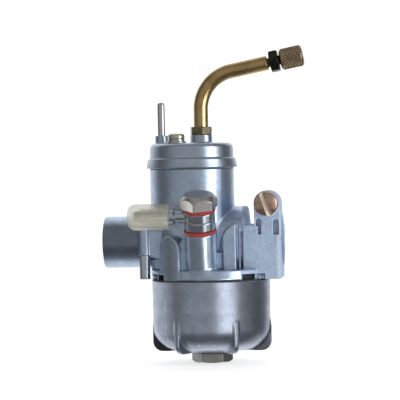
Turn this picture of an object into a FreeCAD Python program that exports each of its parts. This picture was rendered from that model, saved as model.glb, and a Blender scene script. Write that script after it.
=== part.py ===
import FreeCAD, Part
import math
import os

V = FreeCAD.Vector
os.makedirs("parts", exist_ok=True)

# ---------------------------------------------------------------------------
# Small slide-type carburetor, millimetres.
# Everything is laid out about the slide chamber: X along the main bore
# (+X towards the engine), Y across it (-Y is the fuel inlet side), Z up, with
# the chamber's axis and the bore's axis crossing at (0, 0, 0). On export it is
# moved by -ORIGIN_X, so the finished frame's origin lies on the bore's axis at
# the mouth of the manifold socket.
# ---------------------------------------------------------------------------

# ---- driving dimensions ----
ORIGIN_X = 36.0        # chamber axis to the mouth of the manifold socket
BORE_R = 8.0           # main passage
CHAMBER_R = 16.75      # outside of the slide chamber
CHAMBER_TOP = 28.9
SLIDE_X = 4.0          # throttle slide axis
SLIDE_R = 9.0
RUN = 0.06             # radial running clearance
STUB_R = 10.3          # air filter stub, outside
STUB_END = -35.3
STUB_STOP = -20.9
SOCKET_R = 10.0        # manifold socket, inside
SOCKET_OUT_R = 12.0
SOCKET_START = 18.0
BOWL_X = 6.9           # float bowl axis
FLANGE_R = 23.5
FLANGE_TOP = -11.0
FLANGE_BOT = -15.0
BOWL_TOP = -15.4
BOWL_BOT = -44.6
COLUMN_R = 8.0
CAP_TOP = 39.1
THROTTLE_TRAVEL = 16.0
CHOKE_TRAVEL = 12.5
CHOKE_X = -12.0
INLET_P = V(5.4, -17.95, -11.0)   # foot of the fuel inlet's axis
INLET_TILT = 16.0                # degrees off vertical, towards -Y
CLAMP_X, CLAMP_Z = 30.6, 14.6    # clamp screw axis, along Y
TUBE_R = 2.9                     # cable tube, outside
BEND_R = 15.4
BEND_Z = 52.4
BEND_DEG = 78.7
TUBE_STRAIGHT = 15.0
VENT_X, VENT_Y = -18.15, -11.2    # overflow tube
HINGE_Y, HINGE_Z = -18.2, -21.0  # float hinge pin, along X
PIN_R = 0.8
FLOAT_DROP = 8.0                 # degrees the float hangs below level when dry


# ---- helpers ----
def cyl(r, z0, z1, x=0.0, y=0.0):
    return Part.makeCylinder(r, z1 - z0, V(x, y, z0), V(0, 0, 1))


def cylx(r, x0, x1, y=0.0, z=0.0):
    return Part.makeCylinder(r, x1 - x0, V(x0, y, z), V(1, 0, 0))


def cyly(r, y0, y1, x=0.0, z=0.0):
    return Part.makeCylinder(r, y1 - y0, V(x, y0, z), V(0, 1, 0))


def box(x0, x1, y0, y1, z0, z1):
    return Part.makeBox(x1 - x0, y1 - y0, z1 - z0, V(x0, y0, z0))


def coney(r0, r1, y0, y1, x, z):
    return Part.makeCone(r0, r1, y1 - y0, V(x, y0, z), V(0, 1, 0))


def cone(r0, r1, z0, z1, x=0.0, y=0.0):
    return Part.makeCone(r0, r1, z1 - z0, V(x, y, z0), V(0, 0, 1))


def prism_z(points, z0, z1):
    w = Part.makePolygon([V(x, y, z0) for x, y in points + points[:1]])
    return Part.Face(w).extrude(V(0, 0, z1 - z0))


def prism_y(points, y0, y1):
    w = Part.makePolygon([V(x, y0, z) for x, z in points + points[:1]])
    return Part.Face(w).extrude(V(0, y1 - y0, 0))


def hexagon(af, z0, z1, turn=0.0, x=0.0, y=0.0):
    rc = af / math.sqrt(3.0)
    pts = [
        (
            x + rc * math.cos(math.radians(turn + 60 * i)),
            y + rc * math.sin(math.radians(turn + 60 * i)),
        )
        for i in range(6)
    ]
    return prism_z(pts, z0, z1)


def lathe(segments, x=0.0, y=0.0):
    """Closed profile in (r, z) turned about the vertical line through (x, y). A segment is a point, or ("arc", mid, end)."""
    edges = []
    here = first = None
    for s in segments:
        if isinstance(s[0], str):
            mid, end = s[1], s[2]
            edges.append(
                Part.Arc(
                    V(here[0], 0, here[1]), V(mid[0], 0, mid[1]), V(end[0], 0, end[1])
                ).toShape()
            )
            here = end
        else:
            if here is None:
                here = first = s
                continue
            edges.append(Part.makeLine(V(here[0], 0, here[1]), V(s[0], 0, s[1])))
            here = s
    if abs(here[0] - first[0]) + abs(here[1] - first[1]) > 1e-9:
        edges.append(Part.makeLine(V(here[0], 0, here[1]), V(first[0], 0, first[1])))
    solid = Part.Face(Part.Wire(edges)).revolve(V(0, 0, 0), V(0, 0, 1), 360)
    solid.translate(V(x, y, 0))
    return solid


def arc_mid(cx, cz, r, a0, a1):
    a = math.radians((a0 + a1) / 2)
    return (cx + r * math.cos(a), cz + r * math.sin(a))


def fuse(*shapes):
    out = shapes[0].fuse(list(shapes[1:]))
    return out.removeSplitter()


def cut(shape, *tools):
    return shape.cut(list(tools)) if len(tools) > 1 else shape.cut(tools[0])


def inlet(shape):
    """Places a shape built along +Z from (0,0,0) on the tilted fuel inlet axis."""
    s = shape.copy()
    s.rotate(V(0, 0, 0), V(1, 0, 0), INLET_TILT)
    s.translate(INLET_P)
    return s


def inlet_point(s):
    t = math.radians(INLET_TILT)
    return V(INLET_P.x, INLET_P.y - s * math.sin(t), INLET_P.z + s * math.cos(t))


def spring(radius, wire, pitch, length):
    """Coil spring standing on z = 0, axis +Z."""
    up = wire / 2 + 0.03
    turns = max(2, round((length - 2 * up) / pitch))
    pitch = (length - 2 * up) / turns
    h = Part.makeLongHelix(pitch, pitch * turns, radius)
    a = math.atan2(pitch, 2 * math.pi * radius)
    c = Part.Circle(V(radius, 0, 0), V(0, math.cos(a), math.sin(a)), wire / 2)
    coil = Part.Wire(h.Edges).makePipeShell([Part.Wire([c.toShape()])], True, True)
    coil.translate(V(0, 0, up))
    return coil


SAVED = {}


def save(name, shape):
    s = shape.copy()
    s.translate(V(-ORIGIN_X, 0, 0))
    solids = s.Solids
    if len(solids) == 1:
        s = solids[0]
    else:
        s = Part.makeCompound(solids)
    bad = [x for x in solids if not x.isValid() or x.Volume < 1e-6]
    if bad or not solids:
        print("PROBLEM", name, len(solids), [x.Volume for x in bad])
    s.exportStep("parts/%s.step" % name)
    SAVED[name] = s


# ---------------------------------------------------------------------------
# Body casting
# ---------------------------------------------------------------------------
def bowl_dir(deg):
    """Outward direction at an angle about the bowl's axis, from -Y towards +X."""
    a = math.radians(deg)
    return V(math.sin(a), -math.cos(a), 0)


def radial_plate(deg, width, r0, r1, z0, z1, round_top=False):
    """Upright plate standing across the direction deg, from radius r0 to r1."""
    p = box(-width / 2, width / 2, r0, r1, z0, z1)
    if round_top:
        p = fuse(
            box(-width / 2, width / 2, r0, r1, z0, z1 - width / 2),
            cyly(width / 2, r0, r1, 0, z1 - width / 2),
        )
    # +Y of the plate turns to the direction deg
    p.rotate(V(0, 0, 0), V(0, 0, 1), 180 + deg)
    p.translate(V(BOWL_X, 0, 0))
    return p


# slide chamber
outer = [cyl(CHAMBER_R, FLANGE_BOT + 2, CHAMBER_TOP)]
# air filter stub
outer.append(cylx(STUB_R, STUB_END, -19.5))
# shoulder that stops the air hose
outer.append(cylx(STUB_R + 0.25, STUB_STOP, -8))
# manifold socket tube
outer.append(cylx(SOCKET_OUT_R, 10, 36))
# collar beside the chamber: a ring about the bore, flat at the sides
collar = cylx(13.7, 6, 22.3)
rim = [e for e in collar.Edges if e.BoundBox.XMin > 22.2 and e.BoundBox.YLength > 20]
collar = collar.makeFillet(0.8, rim)
outer.append(collar.common(box(0, 30, -12.4, 12.4, FLANGE_TOP - 1, 20)))
# clamp block under the lugs
block = prism_z(
    [(21.0, -13), (34.7, -13), (36, -11.7), (36, 5.0), (33.5, 13), (21.0, 13)],
    FLANGE_BOT,
    6.3,
)
for s in (-1, 1):
    pts = [(s * 13.2, 3.2), (s * 13.2, 6.5), (s * 10.6, 6.5), (s * 10.6, 6.3)]
    if s < 0:
        continue
    w = Part.makePolygon([V(20, a, b) for a, b in pts + pts[:1]])
    block = cut(block, Part.Face(w).extrude(V(20, 0, 0)))
outer.append(block)
# near clamp lug: an upright tongue with a round top; far lug, smaller
outer.append(box(25.5, 36.0, -13, -0.9, 2.0, CLAMP_Z))
outer.append(cyly(5.25, -13, -0.9, 30.75, CLAMP_Z))
outer.append(cyly(4.3, 0.9, 10.5, CLAMP_X, CLAMP_Z))
outer.append(box(28.0, 33.2, 0.9, 10.5, 2.0, CLAMP_Z))
# bearing face under the screw head
outer.append(cyly(5.0, -13.4, -12.5, CLAMP_X, CLAMP_Z))
# square base of the chamber on the engine side
base = prism_z(
    [(2, 0), (2, -13.5), (11.0, -12.6), (12.9, -14.2), (13.7, -16.6), (18.7, -16.6), (18.7, 0)],
    FLANGE_TOP - 1,
    8.0,
)
top_shape = prism_y(
    [(2, -12), (11.6, -12), (11.9, -4), (12.9, 1.5), (14.6, 4.6), (17.2, 6.6), (18.7, 7.2), (19, 7.2), (19, -12.5), (2, -12.5)],
    -20,
    1,
)
base = base.common(top_shape)
outer.append(base)
base_back = base.mirror(V(0, 0, 0), V(0, 1, 0))
outer.append(base_back)
# thin upright rib between base and clamp block
outer.append(box(19.45, 20.15, -12.9, 12.9, FLANGE_TOP - 1, 5.2))
# body wall under the chamber, towards the bowl
outer.append(cyl(15.5, FLANGE_TOP - 1, -4.0, BOWL_X))
# flange, and the lower layer that carries the bowl
outer.append(cyl(FLANGE_R, FLANGE_BOT, FLANGE_TOP, BOWL_X))
# fuel inlet boss and its foot
outer.append(inlet(cyl(6.0, -2.2, 15.7)))
# rounded tower on the flange's rim
tower = radial_plate(-39.8, 10.9, 12.0, 25.0, FLANGE_BOT, 2.6, True)
tower = tower.common(cyl(FLANGE_R, FLANGE_BOT, 10, BOWL_X))
outer.append(tower)
tower2 = radial_plate(-22.3, 3.6, 12.0, 21.7, FLANGE_TOP - 1, 1.4, True)
outer.append(tower2)
# vent boss beside the air stub, with the ramp down towards the pocket
outer.append(cyl(2.5, -5.1, 5.5, VENT_X, VENT_Y))
outer.append(
    prism_y([(-18.1, -5.1), (-15.8, -5.1), (-10.5, -7.2), (-10.5, 5.0), (-18.1, 5.0)], -12.6, -3)
)
# throttle stop screw boss on the back
outer.append(cyly(4.0, 8, 20, SLIDE_X, -3.0))
outer.append(box(SLIDE_X - 4.0, SLIDE_X + 4.0, 8, 17, FLANGE_TOP - 1, -3.0))
# float column and needle seat boss inside the bowl
outer.append(cyl(COLUMN_R, -42.0, FLANGE_TOP, BOWL_X))
outer.append(inlet(cyl(3.9, -5.2, 1.0)))
# float hinge posts
for x0 in (-0.9, 10.0):
    post = box(x0, x0 + 1.6, HINGE_Y - 1.2, HINGE_Y + 1.2, HINGE_Z, FLANGE_BOT + 1)
    post = fuse(post, cylx(1.2, x0, x0 + 1.6, HINGE_Y, HINGE_Z))
    outer.append(post)

body = outer[0].fuse(outer[1:])
if len(body.Solids) != 1:
    print("PROBLEM body is", len(body.Solids), "solids")

tools = []
# pocket between the chamber's foot and the flange on the air side
tools.append(
    prism_y([(-20.5, -11.0), (-11.0, -11.0), (-11.0, -7.1), (-20.5, -4.9)], -20.0, -4.5).common(
        box(-30, -11.0, -11.6, -4.5, -11.0, -4)
    )
)
# main passage, manifold socket, flared mouth of the air stub
tools.append(cylx(BORE_R, STUB_END - 1, SOCKET_START + 0.5))
tools.append(cylx(8.5, STUB_END - 1, -22))
tools.append(Part.makeCone(8.5, BORE_R, 6, V(-22, 0, 0), V(1, 0, 0)))
tools.append(cylx(SOCKET_R, SOCKET_START, 37))
# throttle slide bore
tools.append(cyl(SLIDE_R + RUN, -8.1, CHAMBER_TOP + 1, SLIDE_X))
# choke slide slot, its lug's pocket and spring pocket
tools.append(box(-9.8, -7.8, -8.7, 8.7, -4.2, CHAMBER_TOP + 1))
tools.append(box(-9.8, -3.0, -3.0, 3.0, 9.0, CHAMBER_TOP + 1))
tools.append(box(-13.9, -9.7, -3.1, 3.1, 14.3, CHAMBER_TOP + 1))
tools.append(cyl(2.15, 10.6, CHAMBER_TOP + 1, CHOKE_X))
# clamp: saw slot across, slit along the top
tools.append(box(22.3, 25.5, -20, 20, 6.3, 30))
tools.append(box(24.0, 38.0, -1.0, 1.0, 4.0, 30))
# clamp screw hole
tools.append(cyly(3.1, -20, 20, CLAMP_X, CLAMP_Z))
# pockets either side of the near lug's web
for x0, x1, z0, z1 in ((26.3, 28.3, 6.0, 8.9), (27.1, 28.3, 2.8, 7.0), (33.1, 35.3, 2.5, 8.4)):
    r = (x1 - x0) / 2
    pocket = fuse(
        box(x0, x1, -14, -10.6, z0, z1 - r), cyly(r, -14, -10.6, (x0 + x1) / 2, z1 - r)
    )
    tools.append(pocket)
# outer edge of the socket's mouth
tools.append(
    cylx(14, 34.5, 37).cut([Part.makeCone(12.0, 10.5, 1.5, V(34.5, 0, 0), V(1, 0, 0)), box(30, 40, -14, 0, -20, 20), box(30, 40, -20, 20, -20, 6.3)])
)
# fuel inlet: thread, feed hole and needle seat hole
tools.append(inlet(cyl(3.95, 5.5, 17.0)))
tools.append(inlet(cyl(1.4, 0.9, 6.0)))
tools.append(inlet(cyl(2.6, -7.0, 1.02)))
# jets
tools.append(cyl(6.05, -43.0, -27.0, BOWL_X))
tools.append(cyl(2.9, -28.0, -9.0, SLIDE_X))
tools.append(cyl(1.6, -10.0, -6.0, SLIDE_X))
tools.append(cyl(1.9, -28.0, -18.9, 10.6))
tools.append(cyl(0.6, -20.0, -12.0, 10.6))
tools.append(cylx(0.6, 10.6, 14.8, 0, -12.0))
tools.append(cyl(0.6, -12.0, -6.0, 14.8))
tools.append(cylx(1.5, -2.0, 7.0, 0, -39.0))
# throttle stop screw
tools.append(cyly(2.05, 5.0, 21.0, SLIDE_X, -3.0))
# notches in the lower layer of the flange
for a0, a1 in ((37.5, 55.0), (-60.0, -46.5)):
    pts = [(0, 0)]
    for i in range(7):
        a = math.radians(a0 + (a1 - a0) * i / 6)
        pts.append((40 * math.sin(a), -40 * math.cos(a)))
    wedge = prism_z(pts, FLANGE_BOT - 1, -12.7)
    wedge.translate(V(BOWL_X, 0, 0))
    tools.append(wedge.cut(cyl(21.4, -30, 0, BOWL_X)).common(cyl(26, -30, 0, BOWL_X)))
# lower layer stands back a little behind the tabs
for a0, a1 in ((55.0, 78.0), (-86.0, -60.0)):
    pts = [(0, 0)]
    for i in range(7):
        a = math.radians(a0 + (a1 - a0) * i / 6)
        pts.append((40 * math.sin(a), -40 * math.cos(a)))
    wedge = prism_z(pts, FLANGE_BOT - 1, -12.7)
    wedge.translate(V(BOWL_X, 0, 0))
    ring = wedge.cut(cyl(22.6, -30, 0, BOWL_X)).common(cyl(26, -30, 0, BOWL_X))
    ring = ring.cut(box(30.0, 60, -30, 30, -30, 0)) if a0 > 0 else ring
    tools.append(ring)
# plug hole in the flange's top
tools.append(cyl(1.65, -14.0, -10.0, 15.3, -18.6))
# hollow above the float chamber, clear of the posts and the column
ring_cut = cyl(20.4, FLANGE_BOT - 1, -13.2, BOWL_X).cut(
    Part.makeCompound(
        [
            cyl(COLUMN_R + 0.5, -20, -10, BOWL_X),
            inlet(cyl(6.0, -8, 3)),
            box(-2.2, 12.9, HINGE_Y - 2.6, HINGE_Y + 2.4, -20, -10),
        ]
    )
)
tools.append(ring_cut)
# cap screws
NEAR = (-4.9, -9.6)
FAR = (2.2, 11.5)
for x, y in (NEAR, FAR):
    tools.append(cyl(2.0, 17.0, CHAMBER_TOP + 1, x, y))
# vent tube
tools.append(cyl(1.6, -5.2, 1.0, VENT_X, VENT_Y))
tools.append(cyl(2.42, -6.7, -5.1, VENT_X, VENT_Y))
tools.append(cyl(1.0, 0.9, 3.0, VENT_X, VENT_Y))
# hinge pin
tools.append(cylx(PIN_R, -2.0, 13.0, HINGE_Y, HINGE_Z))

for i, t in enumerate(tools):
    before = body.Volume
    body = body.cut(t)
    if len(body.Solids) != 1 or body.Volume < 0.5 * before:
        print("PROBLEM cut", i, len(body.Solids), before, body.Volume)
# tabs under the flange's rim
tabs = []
for deg in (65.5, -72.5):
    d = bowl_dir(deg)
    side = V(-d.y, d.x, 0)
    for k in (-1.15, 1.15):
        tabs.append(
            Part.makeCylinder(
                1.08,
                3.1,
                V(BOWL_X + d.x * 20.5 + side.x * k, d.y * 20.5 + side.y * k, -13.86),
                V(d.x, d.y, 0),
            )
        )
for t in tabs:
    body = body.fuse(t)
    if len(body.Solids) != 1:
        print("PROBLEM tab", len(body.Solids))
save("carb_body", body.removeSplitter())

# ---------------------------------------------------------------------------
# Top cap with its gasket and screws
# ---------------------------------------------------------------------------
CAP_BOT = 29.2
cap = lathe(
    [
        (0, CAP_BOT),
        (18.0, CAP_BOT),
        (18.2, CAP_BOT + 0.25),
        (17.6, 32.6),
        ("arc", (17.45, 32.9), (17.15, 33.0)),
        ("arc", (16.86, 33.1), (16.75, 33.4)),
        (16.6, CAP_TOP - 2.1),
        ("arc", arc_mid(14.5, CAP_TOP - 2.1, 2.1, 0, 90), (14.5, CAP_TOP)),
        (0, CAP_TOP),
    ]
)
cap = fuse(
    cap,
    cyl(2.55, CAP_TOP - 1, 42.3, CHOKE_X),
    cyl(4.4, CAP_TOP - 1, 42.4, SLIDE_X),
)
ROOF = 36.0
cap_room = [
    cyl(SLIDE_R + 0.5, CAP_BOT - 1, ROOF, SLIDE_X),
    box(-14.2, -4.0, -3.4, 3.4, CAP_BOT - 1, 31.2),
    box(-10.2, -7.4, -9.0, 9.0, CAP_BOT - 1, 31.2),
]
screw_holes = [cyl(2.0 + 0.15, CAP_BOT - 2, CAP_TOP + 2, x, y) for x, y in (NEAR, FAR)]
cap = cap.cut(
    cap_room
    + screw_holes
    + [
        cyl(1.5 + RUN, 30, 45, CHOKE_X),
        cyl(TUBE_R + 0.03, 36.8, 45, SLIDE_X),
        cyl(1.9, 35, 40, SLIDE_X),
    ]
)
save("top_cap", cap.removeSplitter())

gasket = cyl(16.7, CHAMBER_TOP, CAP_BOT).cut(
    [
        cyl(SLIDE_R + 0.5, 20, 40, SLIDE_X),
        box(-14.2, -4.0, -3.4, 3.4, 20, 40),
        box(-10.2, -7.4, -9.0, 9.0, 20, 40),
    ]
    + screw_holes
)
save("top_cap_gasket", gasket)

washers, splits, screws = [], [], []
for x, y, turn in ((NEAR[0], NEAR[1], 24.0), (FAR[0], FAR[1], -35.0)):
    washers.append(cyl(3.95, CAP_TOP, CAP_TOP + 0.7, x, y).cut(cyl(2.15, 0, 60, x, y)))
    sp = cyl(3.3, CAP_TOP + 0.7, CAP_TOP + 1.6, x, y).cut(cyl(2.1, 0, 60, x, y))
    gap = box(0, 5, -0.25, 0.25, 0, 60)
    gap.rotate(V(0, 0, 0), V(0, 0, 1), turn + 200)
    gap.translate(V(x, y, 0))
    splits.append(sp.cut(gap))
    z0 = CAP_TOP + 1.6
    head = lathe(
        [
            (0, z0),
            (3.1, z0),
            (3.3, z0 + 0.25),
            (3.3, z0 + 1.2),
            ("arc", (2.85, z0 + 1.95), (1.9, z0 + 2.25)),
            (0, z0 + 2.35),
        ],
        x,
        y,
    )
    slot = box(-5, 5, -0.4, 0.4, z0 + 1.1, z0 + 4)
    slot.rotate(V(0, 0, 0), V(0, 0, 1), turn)
    slot.translate(V(x, y, 0))
    head = head.cut(slot)
    shank = cyl(1.97, 18.0, z0 + 0.01, x, y)
    screws.append(fuse(head, shank))
save("top_cap_washers", Part.makeCompound(washers))
save("top_cap_spring_washers", Part.makeCompound(splits))
save("top_cap_screws", Part.makeCompound(screws))

# ---------------------------------------------------------------------------
# Choke: pin, slide and spring
# ---------------------------------------------------------------------------
pin = fuse(cyl(1.5, 27.0, 54.9, CHOKE_X), cone(1.5, 0.95, 54.9, 55.5, CHOKE_X))
save("choke_pin", pin)
choke = fuse(
    box(-9.75, -7.85, -8.65, 8.65, 9.0, 30.5),
    box(-13.8, -9.0, -3.0, 3.0, 27.0, 30.5),
)
choke = choke.cut(cyl(1.5, 20, 40, CHOKE_X))
choke = choke.cut(cylx(1.6, -12, -5, 0, 13.0))
save("choke_slide", choke)
sp = spring(1.72, 0.42, 1.75, 27.0 - 10.6)
sp.translate(V(CHOKE_X, 0, 10.6))
save("choke_spring", sp)

# ---------------------------------------------------------------------------
# Throttle: slide, needle, clip, retainer, spring
# ---------------------------------------------------------------------------
slide = cyl(SLIDE_R, -8.0, 19.5, SLIDE_X)
slide = slide.cut(
    [
        cyl(7.4, -4.5, 25, SLIDE_X),
        cyl(1.32, -10, 0, SLIDE_X),
        prism_y([(-6, -8.2), (3.0, -8.2), (-6, -5.6)], -12, 12),
        cyl(1.1, -10, 0, SLIDE_X + 4.2),
        box(SLIDE_X - 1.7, SLIDE_X + 1.7, 7.6, 10, -9, -1.2),
    ]
)
save("throttle_slide", slide.removeSplitter())
needle = fuse(
    cyl(1.25, -12.0, -2.4, SLIDE_X),
    cone(0.65, 1.25, -27.5, -12.0, SLIDE_X),
)
needle = needle.cut(cyl(2.0, -4.5, -3.9, SLIDE_X).cut(cyl(0.85, -10, 0, SLIDE_X)))
save("jet_needle", needle.removeSplitter())
clip = cyl(2.6, -4.45, -3.95, SLIDE_X).cut(
    [cyl(0.9, -6, 0, SLIDE_X), box(SLIDE_X, SLIDE_X + 4, -0.75, 0.75, -6, 0)]
)
save("needle_clip", clip)
ret = cyl(7.3, -3.9, -3.1, SLIDE_X).cut(
    [cyl(1.3, -6, 0, SLIDE_X), cyl(1.1, -6, 0, SLIDE_X + 4.2)]
)
ret = fuse(ret, cyl(7.3, -4.5, -3.9, SLIDE_X).cut(cyl(5.9, -6, 0, SLIDE_X)))
save("needle_retainer", ret)
sp = spring(6.35, 1.1, 4.6, ROOF - 0.05 + 3.1)
sp.translate(V(SLIDE_X, 0, -3.1))
save("throttle_spring", sp)

# ---------------------------------------------------------------------------
# Cable elbow, its lock nut, the adjuster and its lock nut
# ---------------------------------------------------------------------------
a = math.radians(BEND_DEG)
cx, cz = SLIDE_X + BEND_R, BEND_Z
p1 = V(SLIDE_X, 0, 36.8)
p2 = V(SLIDE_X, 0, BEND_Z)
pm = V(cx - BEND_R * math.cos(a / 2), 0, cz + BEND_R * math.sin(a / 2))
p3 = V(cx - BEND_R * math.cos(a), 0, cz + BEND_R * math.sin(a))
D = V(math.sin(a), 0, math.cos(a))
p4 = p3 + D * TUBE_STRAIGHT
path = Part.Wire(
    [
        Part.makeLine(p1, p2),
        Part.Arc(p2, pm, p3).toShape(),
        Part.makeLine(p3, p4),
    ]
)


def tube_solid(r, w):
    prof = Part.Wire([Part.Circle(p1, V(0, 0, 1), r).toShape()])
    return w.makePipeShell([prof], True, False)


tube = tube_solid(TUBE_R, path).cut(tube_solid(1.75, path))
tube = tube.cut(Part.makeCylinder(2.1, 11.0, p4 - D * 10.0, D))
tube = tube.cut(Part.makeCylinder(1.75, 1.0, p1 - V(0, 0, 0.5), V(0, 0, 1)))
save("cable_elbow", tube)

nut = hexagon(8.0, 42.4, 45.6, 7.0 + 30.0 + 6.5, SLIDE_X)
nut = nut.common(
    lathe([(0, 42.4), (4.62, 42.4), (4.62, 45.2), (4.15, 45.6), (0, 45.6)], SLIDE_X)
)
nut = nut.cut(cyl(TUBE_R + 0.02, 40, 50, SLIDE_X))
save("elbow_lock_nut", nut)


def along(shape):
    """Places a shape built along +Z from the tube's end face onto the tube's end axis."""
    s = shape.copy()
    s.rotate(V(0, 0, 0), V(0, 1, 0), BEND_DEG)
    s.translate(p4)
    return s


NUT0, NUT1, KNOB0, KNOB1 = 1.0, 4.6, 5.2, 14.3
nut = hexagon(8.0, NUT0, NUT1, 90.0 - 6.0).common(
    lathe([(0, NUT0), (4.1, NUT0), (4.62, NUT0 + 0.4), (4.62, NUT1 - 0.4), (4.1, NUT1), (0, NUT1)])
)
nut = nut.cut(cyl(2.05 + RUN, 0, 10))
save("adjuster_lock_nut", along(nut))
knob = lathe(
    [
        (0, -8.0),
        (1.7, -8.0),
        (2.05, -7.6),
        (2.05, KNOB0),
        (3.6, KNOB0),
        (4.3, KNOB0 + 0.7),
        (4.3, KNOB1 - 0.7),
        (3.6, KNOB1),
        (0, KNOB1),
    ]
)
knob = knob.cut([cyl(1.0, -10, 20), cyl(2.75, KNOB1 - 6.0, KNOB1 + 1)])
save("cable_adjuster", along(knob))

# ---------------------------------------------------------------------------
# Fuel inlet: banjo fitting, two washers, bolt, dust cap
# ---------------------------------------------------------------------------
S0 = 15.7
red = [
    inlet(cyl(6.4, S0, S0 + 1.5).cut(cyl(4.0, 0, 40))),
    inlet(cyl(6.4, S0 + 8.5, S0 + 10.0).cut(cyl(4.0, 0, 40))),
]
save("banjo_washers", Part.makeCompound(red))
ring = lathe(
    [
        (4.05, S0 + 1.5),
        (5.85, S0 + 1.5),
        (6.05, S0 + 1.7),
        (6.05, S0 + 4.8),
        (5.85, S0 + 5.0),
        (6.05, S0 + 5.2),
        (6.05, S0 + 8.3),
        (5.85, S0 + 8.5),
        (4.05, S0 + 8.5),
    ]
)
ring = ring.cut(lathe([(3.5, S0 + 3.2), (4.7, S0 + 3.2), (4.7, S0 + 6.8), (3.5, S0 + 6.8)]))
ring = inlet(ring)
NC = inlet_point(S0 + 6.5)
NIP_Y, NIP_Z = NC.y, NC.z
NIP_R = 3.0


def nip(r0, r1, xa, xb):
    """Cone or cylinder on the nipple's axis from xa (radius r0) to xb (radius r1), xa > xb."""
    if abs(r0 - r1) < 1e-9:
        return Part.makeCylinder(r0, xa - xb, V(xa, NIP_Y, NIP_Z), V(-1, 0, 0))
    return Part.makeCone(r0, r1, xa - xb, V(xa, NIP_Y, NIP_Z), V(-1, 0, 0))


nipple = [
    nip(2.35, 2.35, 1.2, -4.1),
    nip(2.35, NIP_R, -4.1, -4.6),
    nip(NIP_R, NIP_R, -4.6, -17.4),
    nip(NIP_R, 2.5, -17.4, -17.9),
    nip(2.5, 2.5, -17.9, -19.8),
    nip(2.5, 2.1, -19.8, -20.2),
]
nip_cuts = []
for xg in (-9.6, -12.6, -15.6):
    g = Part.makeCylinder(3.4, 1.3, V(xg, NIP_Y, NIP_Z), V(-1, 0, 0)).cut(
        Part.makeCone(2.4, 3.05, 1.3, V(xg, NIP_Y, NIP_Z), V(-1, 0, 0))
    )
    nip_cuts.append(g)
nip_solid = nipple[0].fuse(nipple[1:]).removeSplitter()
nip_solid = nip_solid.cut([inlet(cyl(4.5, S0, S0 + 10)), inlet(cyl(6.45, S0 + 8.5, S0 + 12))])
banjo = ring.fuse(nip_solid)
banjo = banjo.cut(nip(1.5, 1.5, 5.3 - 4.0, -21.0))
banjo = banjo.cut(nip_cuts)
save("banjo_fitting", banjo.removeSplitter())

B0 = S0 + 10.0
head = hexagon(13.0, B0, B0 + 5.5, 18.7).common(
    lathe([(0, B0), (7.6, B0), (7.6, B0 + 3.2), (5.6, B0 + 5.5), (0, B0 + 5.5)])
)
bolt = fuse(head, cyl(3.9, 6.5, B0))
bolt = bolt.cut(
    [
        cyl(1.5, 6.0, S0 + 6.2),
        cylx(1.2, -5, 5, 0, S0 + 5.0),
        cyly(1.2, -5, 5, 0, S0 + 5.0),
    ]
)
save("banjo_bolt", inlet(bolt))

CAP_R = 5.1
dust = Part.makeCylinder(CAP_R, 22.9 - 6.5, V(-6.5, NIP_Y, NIP_Z), V(-1, 0, 0))
dust_e = [e for e in dust.Edges if abs(e.BoundBox.XMin + 22.9) < 1e-4 and e.BoundBox.XLength < 1e-4]
dust = dust.makeFillet(3.2, dust_e)
dust_e = [e for e in dust.Edges if abs(e.BoundBox.XMin + 6.5) < 1e-4 and e.BoundBox.XLength < 1e-4]
dust = dust.makeFillet(0.5, dust_e)
dust = dust.cut([nip(3.66, 3.66, -6.0, -18.0), nip(2.56, 2.56, -6.0, -21.2)])
save("fuel_inlet_cap", dust)

# needle valve under the inlet
seat = lathe([(0, -6.4), (3.2, -6.4), (3.2, -5.2), (2.6, -5.2), (2.6, 0.9), (0, 0.9)])
seat = seat.cut([cyl(1.5 + RUN, -9, -2.2), cyl(0.75, -4, 2)])
save("needle_valve_seat", inlet(seat))
fneedle = fuse(cyl(1.5, -8.2, -3.9), cone(1.5, 0.4, -3.9, -2.7), cone(0.7, 1.5, -8.6, -8.2))
save("float_needle", inlet(fneedle))

# ---------------------------------------------------------------------------
# Float, drawn level and then let down on its hinge
# ---------------------------------------------------------------------------
FZ0, FZ1 = -28.5, -19.0
ring = cyl(19.0, FZ0, FZ1, BOWL_X).cut(cyl(10.6, FZ0 - 1, FZ1 + 1, BOWL_X))
ring = ring.cut(box(-20, 40, -30, -6.5, FZ0 - 1, FZ1 + 1))
outer_low = [
    e
    for e in ring.Edges
    if e.BoundBox.ZLength < 1e-4 and e.BoundBox.ZMin < FZ0 + 1e-3 and e.BoundBox.XLength > 30
]
ring = ring.makeChamfer(2.0, outer_low)
cross = prism_z(
    [
        (2.0, HINGE_Y),
        (2.0, -15.8),
        (-5.8, -9.2),
        (-5.8, -5.8),
        (-3.8, -5.8),
        (-3.8, -8.2),
        (2.6, -13.6),
        (8.2, -13.6),
        (17.6, -8.2),
        (17.6, -5.8),
        (19.6, -5.8),
        (19.6, -9.2),
        (8.8, -15.8),
        (8.8, HINGE_Y),
    ],
    HINGE_Z - 1.5,
    HINGE_Z - 0.1,
)
barrel = cylx(1.6, 0.9, 9.8, HINGE_Y, HINGE_Z)
flt = fuse(ring, cross, barrel)
flt.rotate(V(0, HINGE_Y, HINGE_Z), V(1, 0, 0), -FLOAT_DROP)
pad = inlet(box(-1.9, 1.9, -2.4, 1.7, -10.6, -8.66))
flt = flt.fuse(pad).removeSplitter()
flt = flt.cut(cylx(PIN_R + RUN, 0, 12, HINGE_Y, HINGE_Z))
save("float", flt)
save("float_hinge_pin", cylx(PIN_R, -1.3, 12.0, HINGE_Y, HINGE_Z))

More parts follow.
